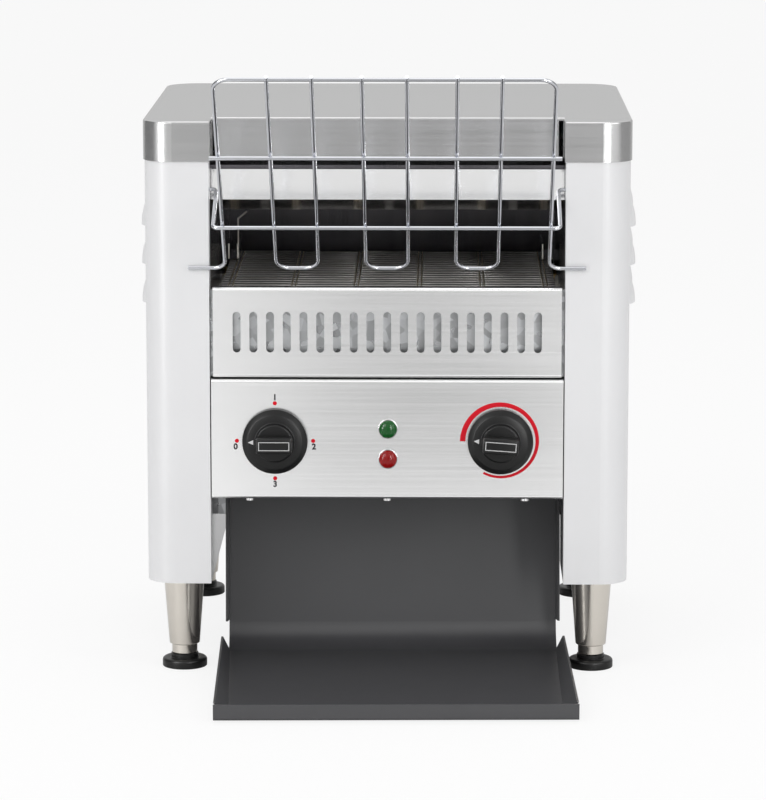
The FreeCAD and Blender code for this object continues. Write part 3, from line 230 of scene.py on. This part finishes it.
MATERIALS = {
    "side_paint": painted_metal("side_paint", (0.78, 0.78, 0.79), 0.36),
    "cover_steel": brushed_metal("cover_steel", grey(0.52), 0.23, contrast=0.05),
    "panel_steel": brushed_metal("panel_steel", grey(0.92), 0.24, contrast=0.03),
    "galvanised": spangled("galvanised", (0.56, 0.57, 0.58)),
    # The chamber's sheets: a dark colour that paints the shade inside the toasting chamber
    "chamber_painted_shade": brushed_metal("chamber_painted_shade", (0.145, 0.14, 0.15), 0.22,
                                   contrast=0.35, grain=(500.0, 500.0, 4.0)),
    "polished_steel": bright_metal("polished_steel", grey(0.76), 0.10),
    "black_plastic": moulded("black_plastic", grey(0.007), 0.34, gloss=0.28),
    "stem_steel": bright_metal("stem_steel", grey(0.62), 0.25),
    "bezel_plastic": moulded("bezel_plastic", grey(0.05), 0.25),
    "green_lens": clear_plastic("green_lens", (0.008, 0.12, 0.02)),
    "red_lens": clear_plastic("red_lens", (0.36, 0.004, 0.004)),
    "belt_steel": heat_tinted("belt_steel", (0.36, 0.35, 0.34), (0.18, 0.17, 0.16)),
    "belt_joint": heat_tinted("belt_joint", (0.90, 0.82, 0.68), (0.66, 0.56, 0.43)),
    "bush_brass": bright_metal("bush_brass", (0.62, 0.47, 0.22), 0.3),
    "motor_metal": bright_metal("motor_metal", grey(0.5), 0.4),
    "quartz": frosted_quartz("quartz"),
    "ceramic_ring": moulded("ceramic_ring", (0.84, 0.81, 0.74), 0.6),
    "leg_nickel": bright_metal("leg_nickel", (0.70, 0.66, 0.60), 0.12),
    "foot_rubber": moulded("foot_rubber", grey(0.006), 0.34, gloss=0.35),
    "slide_steel": painted_metal("slide_steel", (0.060, 0.060, 0.064), 0.34, grain=1100.0, bump=8e-6),
    "rack_chrome": bright_metal("rack_chrome", (0.58, 0.59, 0.62), 0.06),
    # Pale edges of the chamber's sheets: a painted highlight against their painted shade
    "edge_highlight_steel": bright_metal("edge_highlight_steel", (0.80, 0.76, 0.70), 0.35),
    "lamp_chrome": bright_metal("lamp_chrome", grey(0.66), 0.12),
    "white_ink": ink("white_ink", grey(0.85)),
    "black_ink": ink("black_ink", grey(0.02)),
    "red_ink": ink("red_ink", (0.72, 0.004, 0.018)),
    "silver_ink": bright_metal("silver_ink", grey(0.7), 0.3),
}

# Sheets round the toasting chamber, painted dark for the shade that falls inside it
SHADED_CHAMBER = ("upper_reflector", "rear_deflector", "lower_heat_shield", "left_inner_wall",
           "right_inner_wall")


def dress_nodes():
    """Give every CAD node the procedural material of its slot, or the chamber's dark one, which paints the
    shade inside the chamber.
    """
    for name, node in frame["nodes"].items():
        finish = "chamber_painted_shade" if name in SHADED_CHAMBER else SLOT_OF[name]
        for holder in node.material_slots:
            holder.material = MATERIALS[finish]


# Mesh building blocks
SHARP = math.radians(35)
WIRE_SHARP = math.radians(80)


def link_object(name, data):
    """Put a new object with this mesh, curve, lamp or camera into the scene."""
    made = bpy.data.objects.new(name, data)
    bpy.context.scene.collection.objects.link(made)
    return made


def link_mesh(name, bm):
    """Turn a bmesh into an object of the scene."""
    mesh = bpy.data.meshes.new(name)
    bm.to_mesh(mesh)
    bm.free()
    return link_object(name, mesh)


def place_mesh(name, bm, slot, body, sharp=SHARP):
    """Turn a bmesh into a piece, smooth except over sharp edges, riding on a body."""
    bmesh.ops.recalc_face_normals(bm, faces=bm.faces)
    for face in bm.faces:
        face.smooth = True
    for edge in bm.edges:
        edge.smooth = len(edge.link_faces) == 2 and edge.calc_face_angle(0) < sharp
    piece = link_mesh(name, bm)
    piece.data.materials.append(MATERIALS[slot])
    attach(piece, body)
    return piece


def centre_of(node):
    low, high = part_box(node)
    return (low + high) / 2


def facing(centre, direction):
    """A matrix that puts local +Z along direction at centre."""
    turn = Vector(direction).to_track_quat("Z", "Y").to_matrix().to_4x4()
    return Matrix.Translation(centre) @ turn


def front_place(x, y, z, turn=0.0):
    """Local X to the right, Y up and Z out of the front, turned clockwise as seen from the front."""
    out = Matrix(((1, 0, 0), (0, 0, -1), (0, 1, 0))).to_4x4()
    return Matrix.Translation((x, y, z)) @ out @ Matrix.Rotation(-math.radians(turn), 4, "Z")


def round_angles(steps):
    """Evenly spaced angles of a whole turn."""
    return [2 * math.pi * k / steps for k in range(steps)]


def bridge(bm, first, second):
    """Add the faces between two closed rings of as many points."""
    count = len(first)
    for k in range(count):
        after = (k + 1) % count
        bm.faces.new([first[k], first[after], second[after], second[k]])


def lathe_mesh(bm, profile, placing, steps=72):
    """Add a turned solid: profile is (radius, height) pairs from end to end."""
    rings = []
    for radius, height in profile:
        around = round_angles(steps) if radius else [0]
        rings.append([bm.verts.new(placing @ Vector((radius * math.cos(a), radius * math.sin(a), height)))
                      for a in around])
    for lower, upper in zip(rings, rings[1:]):
        for k in range(steps):
            corners = [lower[k % len(lower)], lower[(k + 1) % len(lower)],
                       upper[(k + 1) % len(upper)], upper[k % len(upper)]]
            # A ring of one point gives it twice, and the face is then a triangle.
            bm.faces.new(list(dict.fromkeys(corners)))
    for ring in (rings[0], rings[-1]):
        if len(ring) > 1:
            bm.faces.new(ring)


def arc_profile(centre, radius, start, end, steps):
    """Profile points on an arc, angles in degrees: 0 is outward, 90 is along the axis."""
    angles = [math.radians(start + (end - start) * k / steps) for k in range(steps + 1)]
    return [(centre[0] + radius * math.cos(a), centre[1] + radius * math.sin(a)) for a in angles]


def block_mesh(bm, size, placing, rounding, segments):
    """Add a box centred on its place with all its edges rounded."""
    made = bmesh.ops.create_cube(bm, size=1.0)
    bmesh.ops.scale(bm, vec=size, verts=made["verts"])
    edges = list({edge for vert in made["verts"] for edge in vert.link_edges})
    rounded = bmesh.ops.bevel(bm, geom=edges, offset=rounding, segments=segments, affect="EDGES",
                              profile=0.5)
    verts = list({vert for face in rounded["faces"] for vert in face.verts}
                 | {vert for vert in made["verts"] if vert.is_valid})
    bmesh.ops.transform(bm, matrix=placing, verts=verts)


def tube_mesh(bm, points, radius, sides=8):
    """Add a round wire through the points, with closed ends."""
    points = [Vector(point) for point in points]
    last = len(points) - 1
    heading = (points[1] - points[0]).normalized()
    side = heading.orthogonal().normalized()
    rings = []
    for index, point in enumerate(points):
        ahead = points[min(index + 1, last)] - point
        behind = point - points[max(index - 1, 0)]
        turned = (ahead.normalized() + behind.normalized()).normalized()
        side = (heading.rotation_difference(turned) @ side).normalized()
        heading = turned
        other = heading.cross(side)
        rings.append([bm.verts.new(point + radius * (side * math.cos(a) + other * math.sin(a)))
                      for a in round_angles(sides)])
    for first, second in zip(rings, rings[1:]):
        bridge(bm, first, second)
    bm.faces.new(rings[0])
    bm.faces.new(rings[-1])


def plate_mesh(bm, outline, placing, thick):
    """Add a flat plate: outline points in its own XY plane, thickened along +Z."""
    lower = [bm.verts.new(placing @ Vector((x, y, 0))) for x, y in outline]
    upper = [bm.verts.new(placing @ Vector((x, y, thick))) for x, y in outline]
    bm.faces.new(lower)
    bm.faces.new(upper)
    bridge(bm, lower, upper)


def rectangle(x, y, wide, tall):
    """The corners of a rectangle centred on x, y."""
    return [(x + across * wide / 2, y + up * tall / 2)
            for across, up in ((-1, -1), (1, -1), (1, 1), (-1, 1))]


# Knobs: the levels of skirt, boss and grip bar from the back, in parts of the whole depth
SKIRT_TOP = 7
BOSS_TOP = 12
KNOB_TOP = 24
SKIRT_EDGE = 1.0 * MM
BOSS_RADIUS = 14.5 * MM
BOSS_FILLET = 1.2 * MM
GRIP_LENGTH = 27 * MM
GRIP_WIDTH = 12 * MM
GRIP_ROOT = 3 * MM
GRIP_ROUNDING = 1.4 * MM
INK_THICK = 0.04 * MM
SUNK = 0.02 * MM
SPEED_REST_ANGLE = 4  # degrees past nine o'clock


def knob(name, turn):
    """A skirted knob with its boss, grip bar, silver line and pointer."""
    low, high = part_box(name)
    centre = centre_of(name)
    radius = (high.x - low.x) / 2
    depth = high.y - low.y
    placing = front_place(centre.x, high.y, centre.z, turn)
    skirt = depth * SKIRT_TOP / KNOB_TOP
    boss = depth * BOSS_TOP / KNOB_TOP
    profile = [(0, 0), (radius - SKIRT_EDGE / 2, 0)]
    profile += arc_profile((radius - SKIRT_EDGE, SKIRT_EDGE), SKIRT_EDGE, -60, 0, 4)
    profile += arc_profile((radius - SKIRT_EDGE, skirt * 0.45), SKIRT_EDGE, 0, 50, 5)
    profile += [(radius - 3.6 * MM, skirt - 0.35 * MM), (radius - 4.2 * MM, skirt)]
    profile += arc_profile((BOSS_RADIUS + BOSS_FILLET, skirt + BOSS_FILLET), BOSS_FILLET, -90, -180, 4)
    profile += arc_profile((BOSS_RADIUS - 1.4 * MM, boss - BOSS_FILLET), BOSS_FILLET, 0, 90, 5)
    profile += [(0, boss)]
    bm = bmesh.new()
    lathe_mesh(bm, profile, placing, 96)
    grip = Vector((GRIP_LENGTH, GRIP_WIDTH, depth - boss + GRIP_ROOT))
    lift = Matrix.Translation((0, 0, boss - GRIP_ROOT + grip.z / 2 - SUNK))
    block_mesh(bm, grip, placing @ lift, GRIP_ROUNDING, 4)
    piece = place_mesh(name + "_moulding", bm, "black_plastic", name)
    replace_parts(piece, name)
    grip_line(name, placing, depth)
    pointer(name, placing, skirt, radius)


def grip_line(name, placing, depth):
    """The silver line set round the grip's face."""
    half_x, half_y, line = 11.7 * MM, 3.35 * MM, 0.55 * MM
    top, end, upright = half_y - line / 2, half_x - line / 2, 2 * (half_y - line)
    level = placing @ Matrix.Translation((0, 0, depth - SUNK))
    bm = bmesh.new()
    for up in (top, -top):
        plate_mesh(bm, rectangle(0, up, 2 * half_x, line), level, INK_THICK)
    for across in (end, -end):
        plate_mesh(bm, rectangle(across, 0, line, upright), level, INK_THICK)
    place_mesh(name + "_grip_line", bm, "silver_ink", name)


def pointer(name, placing, skirt, radius):
    """The white triangle on the skirt, at nine o'clock when the knob is off."""
    tip, root, half = radius - 4.6 * MM, radius - 8.6 * MM, 1.9 * MM
    level = placing @ Matrix.Translation((0, 0, skirt - SUNK))
    bm = bmesh.new()
    plate_mesh(bm, [(-tip, 0), (-root, -half), (-root, half)], level, INK_THICK)
    place_mesh(name + "_pointer", bm, "white_ink", name)


# Marks printed on the control panel
PANEL_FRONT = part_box("control_panel")[0].y
DOT_RADIUS = 1.6 * MM
DOT_RING = 29 * MM
NUMBER_SIZE = 6.2 * MM
NUMBER_SWELL = 0.04
# Each number's step across and up from its dot, in millimetres
NUMBER_STEPS = ((-1.0, -4.6), (0, 4.4), (0.6, -4.6), (0, -4.6))
ARC_SWEEP = 298  # degrees
ARC_INNER = 26.6 * MM
ARC_OUTER_START = 30.8 * MM
ARC_OUTER_END = 28.4 * MM
ARC_STEPS = 72
WELD = 1e-6


def dial_marks():
    """Red dots and numbers round the selector, a tapering red arc round the speed knob."""
    bm = bmesh.new()
    selector = centre_of("selector_knob")
    for k, (across, up) in enumerate(NUMBER_STEPS):
        angle = math.radians(180 - 90 * k)
        x, z = selector.x + DOT_RING * math.cos(angle), selector.z + DOT_RING * math.sin(angle)
        lathe_mesh(bm, [(0, 0), (DOT_RADIUS, 0), (DOT_RADIUS, INK_THICK), (0, INK_THICK)],
                   front_place(x, PANEL_FRONT, z), 32)
        number(str(k), x + across * MM, z + up * MM)
    speed_arc(bm)
    bmesh.ops.remove_doubles(bm, verts=bm.verts, dist=WELD)
    place_mesh("dial_marks", bm, "red_ink", "casing")


def speed_arc(bm):
    """Add the arc's strips, clockwise from nine o'clock."""
    speed = centre_of("speed_knob")
    place = front_place(speed.x, PANEL_FRONT, speed.z)
    edges = []
    for k in range(ARC_STEPS + 1):
        share = k / ARC_STEPS
        angle = math.radians(180 - ARC_SWEEP * share)
        outer = ARC_OUTER_START + (ARC_OUTER_END - ARC_OUTER_START) * share
        edges.append([Vector((reach * math.cos(angle), reach * math.sin(angle), INK_THICK))
                      for reach in (ARC_INNER, outer)])
    for (inside, outside), (next_inside, next_outside) in zip(edges, edges[1:]):
        corners = (inside, next_inside, next_outside, outside)
        bm.faces.new([bm.verts.new(place @ corner) for corner in corners])


def number(text, x, z):
    """A plain printed number on the control panel."""
    name = f"number_{text}"
    curve = bpy.data.curves.new(name, "FONT")
    curve.body = text
    curve.size = NUMBER_SIZE
    curve.align_x = "CENTER"
    curve.align_y = "CENTER"
    curve.extrude = INK_THICK / 2
    curve.offset = NUMBER_SIZE * NUMBER_SWELL
    piece = link_object(name, curve)
    piece.matrix_world = front_place(x, PANEL_FRONT - INK_THICK / 2, z)
    piece.data.materials.append(MATERIALS["black_ink"])
    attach(piece, "casing")


# Pilot lamps
RING_INNER = 7.0 * MM
RING_EDGE = 0.45 * MM
LENS_RADIUS = 6.95 * MM
LENS_SEAT = 0.2 * MM


def pilot_lamp(colour):
    """The chromed ring and the domed lens of one pilot lamp."""
    body, lens = f"{colour}_lamp_body", f"{colour}_lamp_lens"
    low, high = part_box(body)
    centre = centre_of(lens)
    radius = (high.x - low.x) / 2
    proud = PANEL_FRONT - low.y
    placing = front_place(centre.x, PANEL_FRONT, centre.z)
    profile = [(RING_INNER, 0), (radius, 0), (radius, proud * 0.35)]
    profile += arc_profile((radius - RING_EDGE, proud - RING_EDGE), RING_EDGE, 0, 90, 5)
    profile += [(RING_INNER + 0.05 * MM, proud), (RING_INNER, proud - 0.3 * MM)]
    bm = bmesh.new()
    lathe_mesh(bm, profile, placing, 64)
    ring = place_mesh(f"{colour}_lamp_ring", bm, "lamp_chrome", "casing")
    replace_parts(ring, body)
    rise = PANEL_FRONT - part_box(lens)[0].y
    shoulder = proud - LENS_SEAT
    dome = [(LENS_RADIUS * math.cos(math.radians(a)),
             shoulder + (rise - shoulder) * math.sin(math.radians(a))) for a in range(0, 90, 9)]
    bm = bmesh.new()
    lathe_mesh(bm, [(0, LENS_SEAT), (LENS_RADIUS, LENS_SEAT)] + dome + [(0, rise)], placing, 64)
    piece = place_mesh(f"{colour}_lens_dome", bm, f"{colour}_lens", "casing")
    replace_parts(piece, lens)


# Conveyor belt
BELT_PITCH = 12.7 * MM
BELT_STRIPS = 5
BELT_EDGE = 7.6 * MM
ROD_RADIUS = 1.0 * MM
ROD_CRANK = 1.3 * MM
ROD_STEP = 3.4 * MM
LINK_RADIUS = 0.65 * MM
LINK_GAP = 1.5 * MM
LINK_HOOK = 1.6 * MM
HOOK_DROP = -0.5 * MM
LINK_OVER_ROD = 0.35 * MM
LINK_MIDDLE = 0.1 * MM


class BeltPath:
    """The closed line that the belt's wires follow round its two shafts."""

    def __init__(self):
        low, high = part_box("conveyor_belt")
        self.radius = (high.z - low.z) / 2 - ROD_RADIUS
        self.front = low.y + ROD_RADIUS + self.radius
        self.rear = high.y - ROD_RADIUS - self.radius
        self.level = (low.z + high.z) / 2
        self.half_width = high.x
        self.run = self.rear - self.front
        self.bend = math.pi * self.radius
        self.length = 2 * (self.run + self.bend)

    def at(self, distance, x, lift=0.0):
        """A point on the belt; lift is outward from the belt's middle line."""
        d = distance % self.length
        reach = self.radius + lift
        if d < self.run:
            return Vector((x, self.front + d, self.level + reach))
        if d < self.run + self.bend:
            angle = (d - self.run) / self.radius
            return Vector((x, self.rear + reach * math.sin(angle), self.level + reach * math.cos(angle)))
        if d < 2 * self.run + self.bend:
            return Vector((x, self.rear - (d - self.run - self.bend), self.level - reach))
        angle = (d - 2 * self.run - self.bend) / self.radius
        return Vector((x, self.front - reach * math.sin(angle), self.level - reach * math.cos(angle)))


def belt():
    """Cross rods that step aside at six columns, where pairs of hooked links join them."""
    path = BeltPath()
    rows = round(path.length / BELT_PITCH)
    pitch = path.length / rows
    strip = 2 * (path.half_width - BELT_EDGE) / BELT_STRIPS
    columns = [(k - BELT_STRIPS / 2) * strip for k in range(BELT_STRIPS + 1)]
    # Distance from the link's rod and lift, from one hook's end to the other's
    link = ((-LINK_HOOK, HOOK_DROP), (0, LINK_OVER_ROD), (pitch / 2, LINK_MIDDLE),
            (pitch, LINK_OVER_ROD), (pitch + LINK_HOOK, HOOK_DROP))
    rods, links = bmesh.new(), bmesh.new()
    for row in range(rows):
        middle = row * pitch
        points = [path.at(middle, -path.half_width)]
        for index, column in enumerate(columns):
            shift = ROD_CRANK if index % 2 else -ROD_CRANK
            points += [path.at(middle + (shift if index else 0), column - ROD_STEP),
                       path.at(middle - shift, column + ROD_STEP)]
            for side in (-LINK_GAP, LINK_GAP):
                tube_mesh(links, [path.at(middle + along, column + side, lift) for along, lift in link],
                          LINK_RADIUS, 6)
        points.append(path.at(middle, path.half_width))
        tube_mesh(rods, points, ROD_RADIUS)
    piece = place_mesh("belt_rods", rods, "belt_steel", "casing", WIRE_SHARP)
    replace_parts(piece, "conveyor_belt")
    place_mesh("belt_links", links, "belt_joint", "casing", WIRE_SHARP)


# Front edges of the sheets round the chamber, pale against the chamber's painted shade: painted highlights
# where light catches these edges
EAVE_EDGE = 0.62 * MM
GUIDE_EDGE = 0.75 * MM
GUIDE_DEPTH = 180 * MM  # behind the front of the columns
GUIDE_PROUD = 0.2 * MM
WALL_THICK = 1.2 * MM
BELT_CLEARANCE = 1.3 * MM
# Steps in from the bay's walls to the channels' upright edges, and up over the belt
CHANNEL_SIDES = (5.6 * MM, 12.6 * MM)
CHANNEL_LEVELS = (0.5 * MM, 6.5 * MM, 12.5 * MM)
LEAF_SIDE = 13.2 * MM
LEAF_HEIGHT = 32.6 * MM
LEAF_TIP_RISE = 6.0 * MM


def eave_edge():
    """The eave's front edge above the deflector, pale as a painted highlight."""
    low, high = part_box("upper_reflector")
    front, top = low.y + EAVE_EDGE, high.z - EAVE_EDGE
    bm = bmesh.new()
    tube_mesh(bm, [(x, front, top) for x in (low.x + EAVE_EDGE, 0, high.x - EAVE_EDGE)], EAVE_EDGE)
    place_mesh("eave_edge", bm, "edge_highlight_steel", "casing", WIRE_SHARP)


def guide_edges():
    """The front edges of the channels over the belt's edges, and of the leaf beside the left one, pale as
    painted highlights.
    """
    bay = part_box("right_inner_wall")[1].x - WALL_THICK
    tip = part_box("left_inner_wall")[1].x - WALL_THICK
    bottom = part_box("conveyor_belt")[1].z + BELT_CLEARANCE
    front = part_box("left_side_panel")[0].y + GUIDE_DEPTH - GUIDE_PROUD
    bm = bmesh.new()
    for wall, inward in ((-bay, 1), (bay, -1)):
        for side in CHANNEL_SIDES:
            upright = [(wall + inward * side, front, bottom + level) for level in CHANNEL_LEVELS]
            tube_mesh(bm, upright, GUIDE_EDGE)
    leaf, bend = -bay + LEAF_SIDE, bottom + LEAF_HEIGHT
    tube_mesh(bm, [(leaf, front, bottom + GUIDE_EDGE), (leaf, front, bend),
                   (tip, front, bend + LEAF_TIP_RISE)], GUIDE_EDGE)
    place_mesh("guide_edges", bm, "edge_highlight_steel", "casing", WIRE_SHARP)


# Legs and feet, turned about the leg's axis
LEG_NECK_RADIUS = 9.75 * MM
LEG_NECK_HEIGHT = 7.5 * MM
LEG_END_RADIUS = 11.7 * MM
LEG_END_EDGE = 0.7 * MM
LEG_TOP_EDGE = 0.8 * MM
PAD_TREAD = 0.4 * MM
PAD_EDGE = 0.8 * MM
PAD_SHOULDER = 2.2 * MM
PAD_SHOULDER_LEVEL = 4.8 * MM
COLLAR_RADIUS = 10.5 * MM
COLLAR_LEVEL = 7.0 * MM
COLLAR_GAP = 0.3 * MM
SCREW_RADIUS = 4.0 * MM


def upright_on_leg(corner):
    """The leg's axis, from the table up."""
    centre = centre_of(f"{corner}_leg")
    return facing((centre.x, centre.y, 0), (0, 0, 1))


def leg(corner):
    """A tapering leg with a narrow neck at its lower end."""
    name = f"{corner}_leg"
    low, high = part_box(name)
    radius = (high.x - low.x) / 2
    neck_top = low.z + LEG_NECK_HEIGHT
    profile = [(0, low.z), (LEG_NECK_RADIUS - 0.5 * MM, low.z), (LEG_NECK_RADIUS, low.z + 0.5 * MM),
               (LEG_NECK_RADIUS, neck_top - 0.6 * MM)]
    profile += arc_profile((LEG_END_RADIUS - LEG_END_EDGE, neck_top + LEG_END_EDGE), LEG_END_EDGE, -90, 0, 4)
    profile += [(radius - 0.3 * MM, high.z - 2.2 * MM)]
    profile += arc_profile((radius - LEG_TOP_EDGE, high.z - LEG_TOP_EDGE), LEG_TOP_EDGE, 0, 90, 4)
    profile += [(0, high.z)]
    bm = bmesh.new()
    lathe_mesh(bm, profile, upright_on_leg(corner))
    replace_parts(place_mesh(name + "_turned", bm, "leg_nickel", "casing"), name)


def foot(corner):
    """A round pad with a collar under the leg's neck and the screw that goes up into the leg."""
    name = f"{corner}_foot"
    low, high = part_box(name)
    leg_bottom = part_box(f"{corner}_leg")[0].z
    radius = (high.x - low.x) / 2
    rim = radius - PAD_EDGE
    collar_top = leg_bottom - COLLAR_GAP
    profile = [(0, PAD_TREAD), (radius - 3.5 * MM, PAD_TREAD), (radius - 3.0 * MM, 0), (rim, 0)]
    profile += arc_profile((rim, PAD_EDGE), PAD_EDGE, -60, 0, 4)
    profile += arc_profile((radius - PAD_SHOULDER, PAD_SHOULDER_LEVEL), PAD_SHOULDER, 0, 90, 7)
    profile += [(COLLAR_RADIUS + 0.4 * MM, COLLAR_LEVEL), (COLLAR_RADIUS, COLLAR_LEVEL + 0.3 * MM),
                (COLLAR_RADIUS, collar_top - 0.3 * MM), (COLLAR_RADIUS - 0.3 * MM, collar_top),
                (SCREW_RADIUS, collar_top), (SCREW_RADIUS, high.z), (0, high.z)]
    bm = bmesh.new()
    lathe_mesh(bm, profile, upright_on_leg(corner))
    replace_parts(place_mesh(name + "_pad", bm, "foot_rubber", name), name)


# Stage
FLOOR_SIZE = 30.0
FLOOR_GLOW = 0.84
WORLD_LIGHT = 0.62
WORLD_SEEN = 1.0
LAMP_TARGET = Vector((0, 0, 0.2))


def floor_material():
    """A pale floor that the camera sees as nearly white, with the object's shadow on it."""
    m = Nodes("floor")
    grain = m.noise(m.position(), 3.0)
    m.set(Base_Color=m.blend(grain, grey(0.90), grey(0.92)), Roughness=0.7)
    glow = m.add("ShaderNodeEmission", {"Color": (1, 1, 1, 1), "Strength": 1.0})
    path = m.add("ShaderNodeLightPath")
    share = m.multiply(path.outputs["Is Camera Ray"], FLOOR_GLOW)
    mixed = m.add("ShaderNodeMixShader", {0: share, 1: m.shader.outputs[0], 2: glow.outputs[0]})
    m.feed(m.tree.nodes["Material Output"], "Surface", mixed.outputs[0])
    return m.material


def floor():
    bm = bmesh.new()
    bmesh.ops.create_grid(bm, x_segments=8, y_segments=8, size=FLOOR_SIZE)
    plane = link_mesh("floor", bm)
    plane.data.materials.append(floor_material())


def world():
    """Soft light all round; camera, glossy and transmission rays see a white room."""
    light = bpy.data.worlds.new("studio")
    bpy.context.scene.world = light
    light.use_nodes = True
    tree = light.node_tree
    path = tree.nodes.new("ShaderNodeLightPath")
    seen = path.outputs["Is Camera Ray"]
    for ray in ("Is Glossy Ray", "Is Transmission Ray"):
        either = tree.nodes.new("ShaderNodeMath")
        either.operation = "MAXIMUM"
        tree.links.new(seen, either.inputs[0])
        tree.links.new(path.outputs[ray], either.inputs[1])
        seen = either.outputs[0]
    strength = tree.nodes.new("ShaderNodeMapRange")
    strength.inputs["To Min"].default_value = WORLD_LIGHT
    strength.inputs["To Max"].default_value = WORLD_SEEN
    tree.links.new(seen, strength.inputs["Value"])
    background = tree.nodes["Background"]
    background.inputs["Color"].default_value = (1, 1, 1, 1)
    tree.links.new(strength.outputs[0], background.inputs["Strength"])


def lamp(name, place, size, power):
    """A soft lamp aimed at the object."""
    data = bpy.data.lights.new(name, "AREA")
    data.shape = "RECTANGLE"
    data.size, data.size_y = size
    data.energy = power
    lit = link_object(name, data)
    lit.location = place
    lit.rotation_mode = "QUATERNION"
    lit.rotation_quaternion = (LAMP_TARGET - Vector(place)).to_track_quat("-Z", "Y")


def card(name, centre, size, normal, level):
    """A studio card that only reflections see: it shapes the metal, and casts no light."""
    bm = bmesh.new()
    place = facing(Vector(centre), normal)
    bm.faces.new([bm.verts.new(place @ Vector((x, y, 0))) for x, y in rectangle(0, 0, *size)])
    piece = link_mesh(name, bm)
    m = Nodes(name)
    m.set(Base_Color=(0, 0, 0, 1), Roughness=1.0, Emission_Color=(*grey(level), 1), Emission_Strength=1.0)
    piece.data.materials.append(m.material)
    for ray in ("camera", "diffuse", "shadow", "transmission", "volume_scatter"):
        setattr(piece, "visible_" + ray, False)


# The photograph's camera, from its vanishing point and the casing's width in it
CAMERA_DISTANCE = 2.964
CAMERA_HEIGHT = 0.728
CAMERA_ACROSS = 0.0372
CAMERA_PITCH = 9.85
CAMERA_YAW = 0.78
CAMERA_LENS = 178.4
SENSOR_WIDTH = 36
CLIP_END = 100


def camera():
    data = bpy.data.cameras.new("camera")
    data.lens = CAMERA_LENS
    data.sensor_width = SENSOR_WIDTH
    data.clip_end = CLIP_END
    view = link_object("camera", data)
    view.location = (CAMERA_ACROSS, PANEL_FRONT - CAMERA_DISTANCE, CAMERA_HEIGHT)
    view.rotation_euler = (math.radians(90 - CAMERA_PITCH), 0, math.radians(CAMERA_YAW))
    bpy.context.scene.camera = view


def stage():
    """Floor, world, lamps, reflection cards and camera."""
    floor()
    world()
    lamp("key", (-1.6, -2.2, 1.9), size=(1.6, 1.6), power=26)
    lamp("fill", (2.0, -1.6, 1.2), size=(1.2, 1.8), power=12)
    lamp("top", (0, 0.3, 2.4), size=(1.6, 1.6), power=10)
    card("card_front", (0.15, -3.3, 0.5), size=(1.1, 1.0), normal=(0, 1, 0), level=0.45)
    card("card_table", (0.04, -2.0, 0.004), size=(0.34, 2.5), normal=(0, 0, 1), level=0.30)
    card("card_left", (-2.3, 0.7, 0.9), size=(3.0, 2.2), normal=(1, 0, 0), level=0.25)
    card("card_right", (2.3, 0.7, 0.9), size=(3.0, 2.2), normal=(-1, 0, 0), level=0.45)
    card("card_rear", (0, 2.8, 0.7), size=(4.5, 1.5), normal=(0, -1, 0), level=0.66)
    card("strip_left", (-1.55, -1.45, 0.8), size=(0.34, 1.6), normal=(1.55, 1.45, 0), level=14.0)
    card("strip_right", (0.93, -2.0, 0.8), size=(0.24, 1.6), normal=(-0.93, 2.0, 0), level=16.0)
    camera()
    bpy.context.scene.view_settings.view_transform = "Standard"


dress_nodes()
knob("selector_knob", 0)
knob("speed_knob", SPEED_REST_ANGLE)
dial_marks()
belt()
eave_edge()
guide_edges()
pilot_lamp("green")
pilot_lamp("red")
for corner in ("front_left", "front_right", "rear_left", "rear_right"):
    leg(corner)
    foot(corner)
stage()
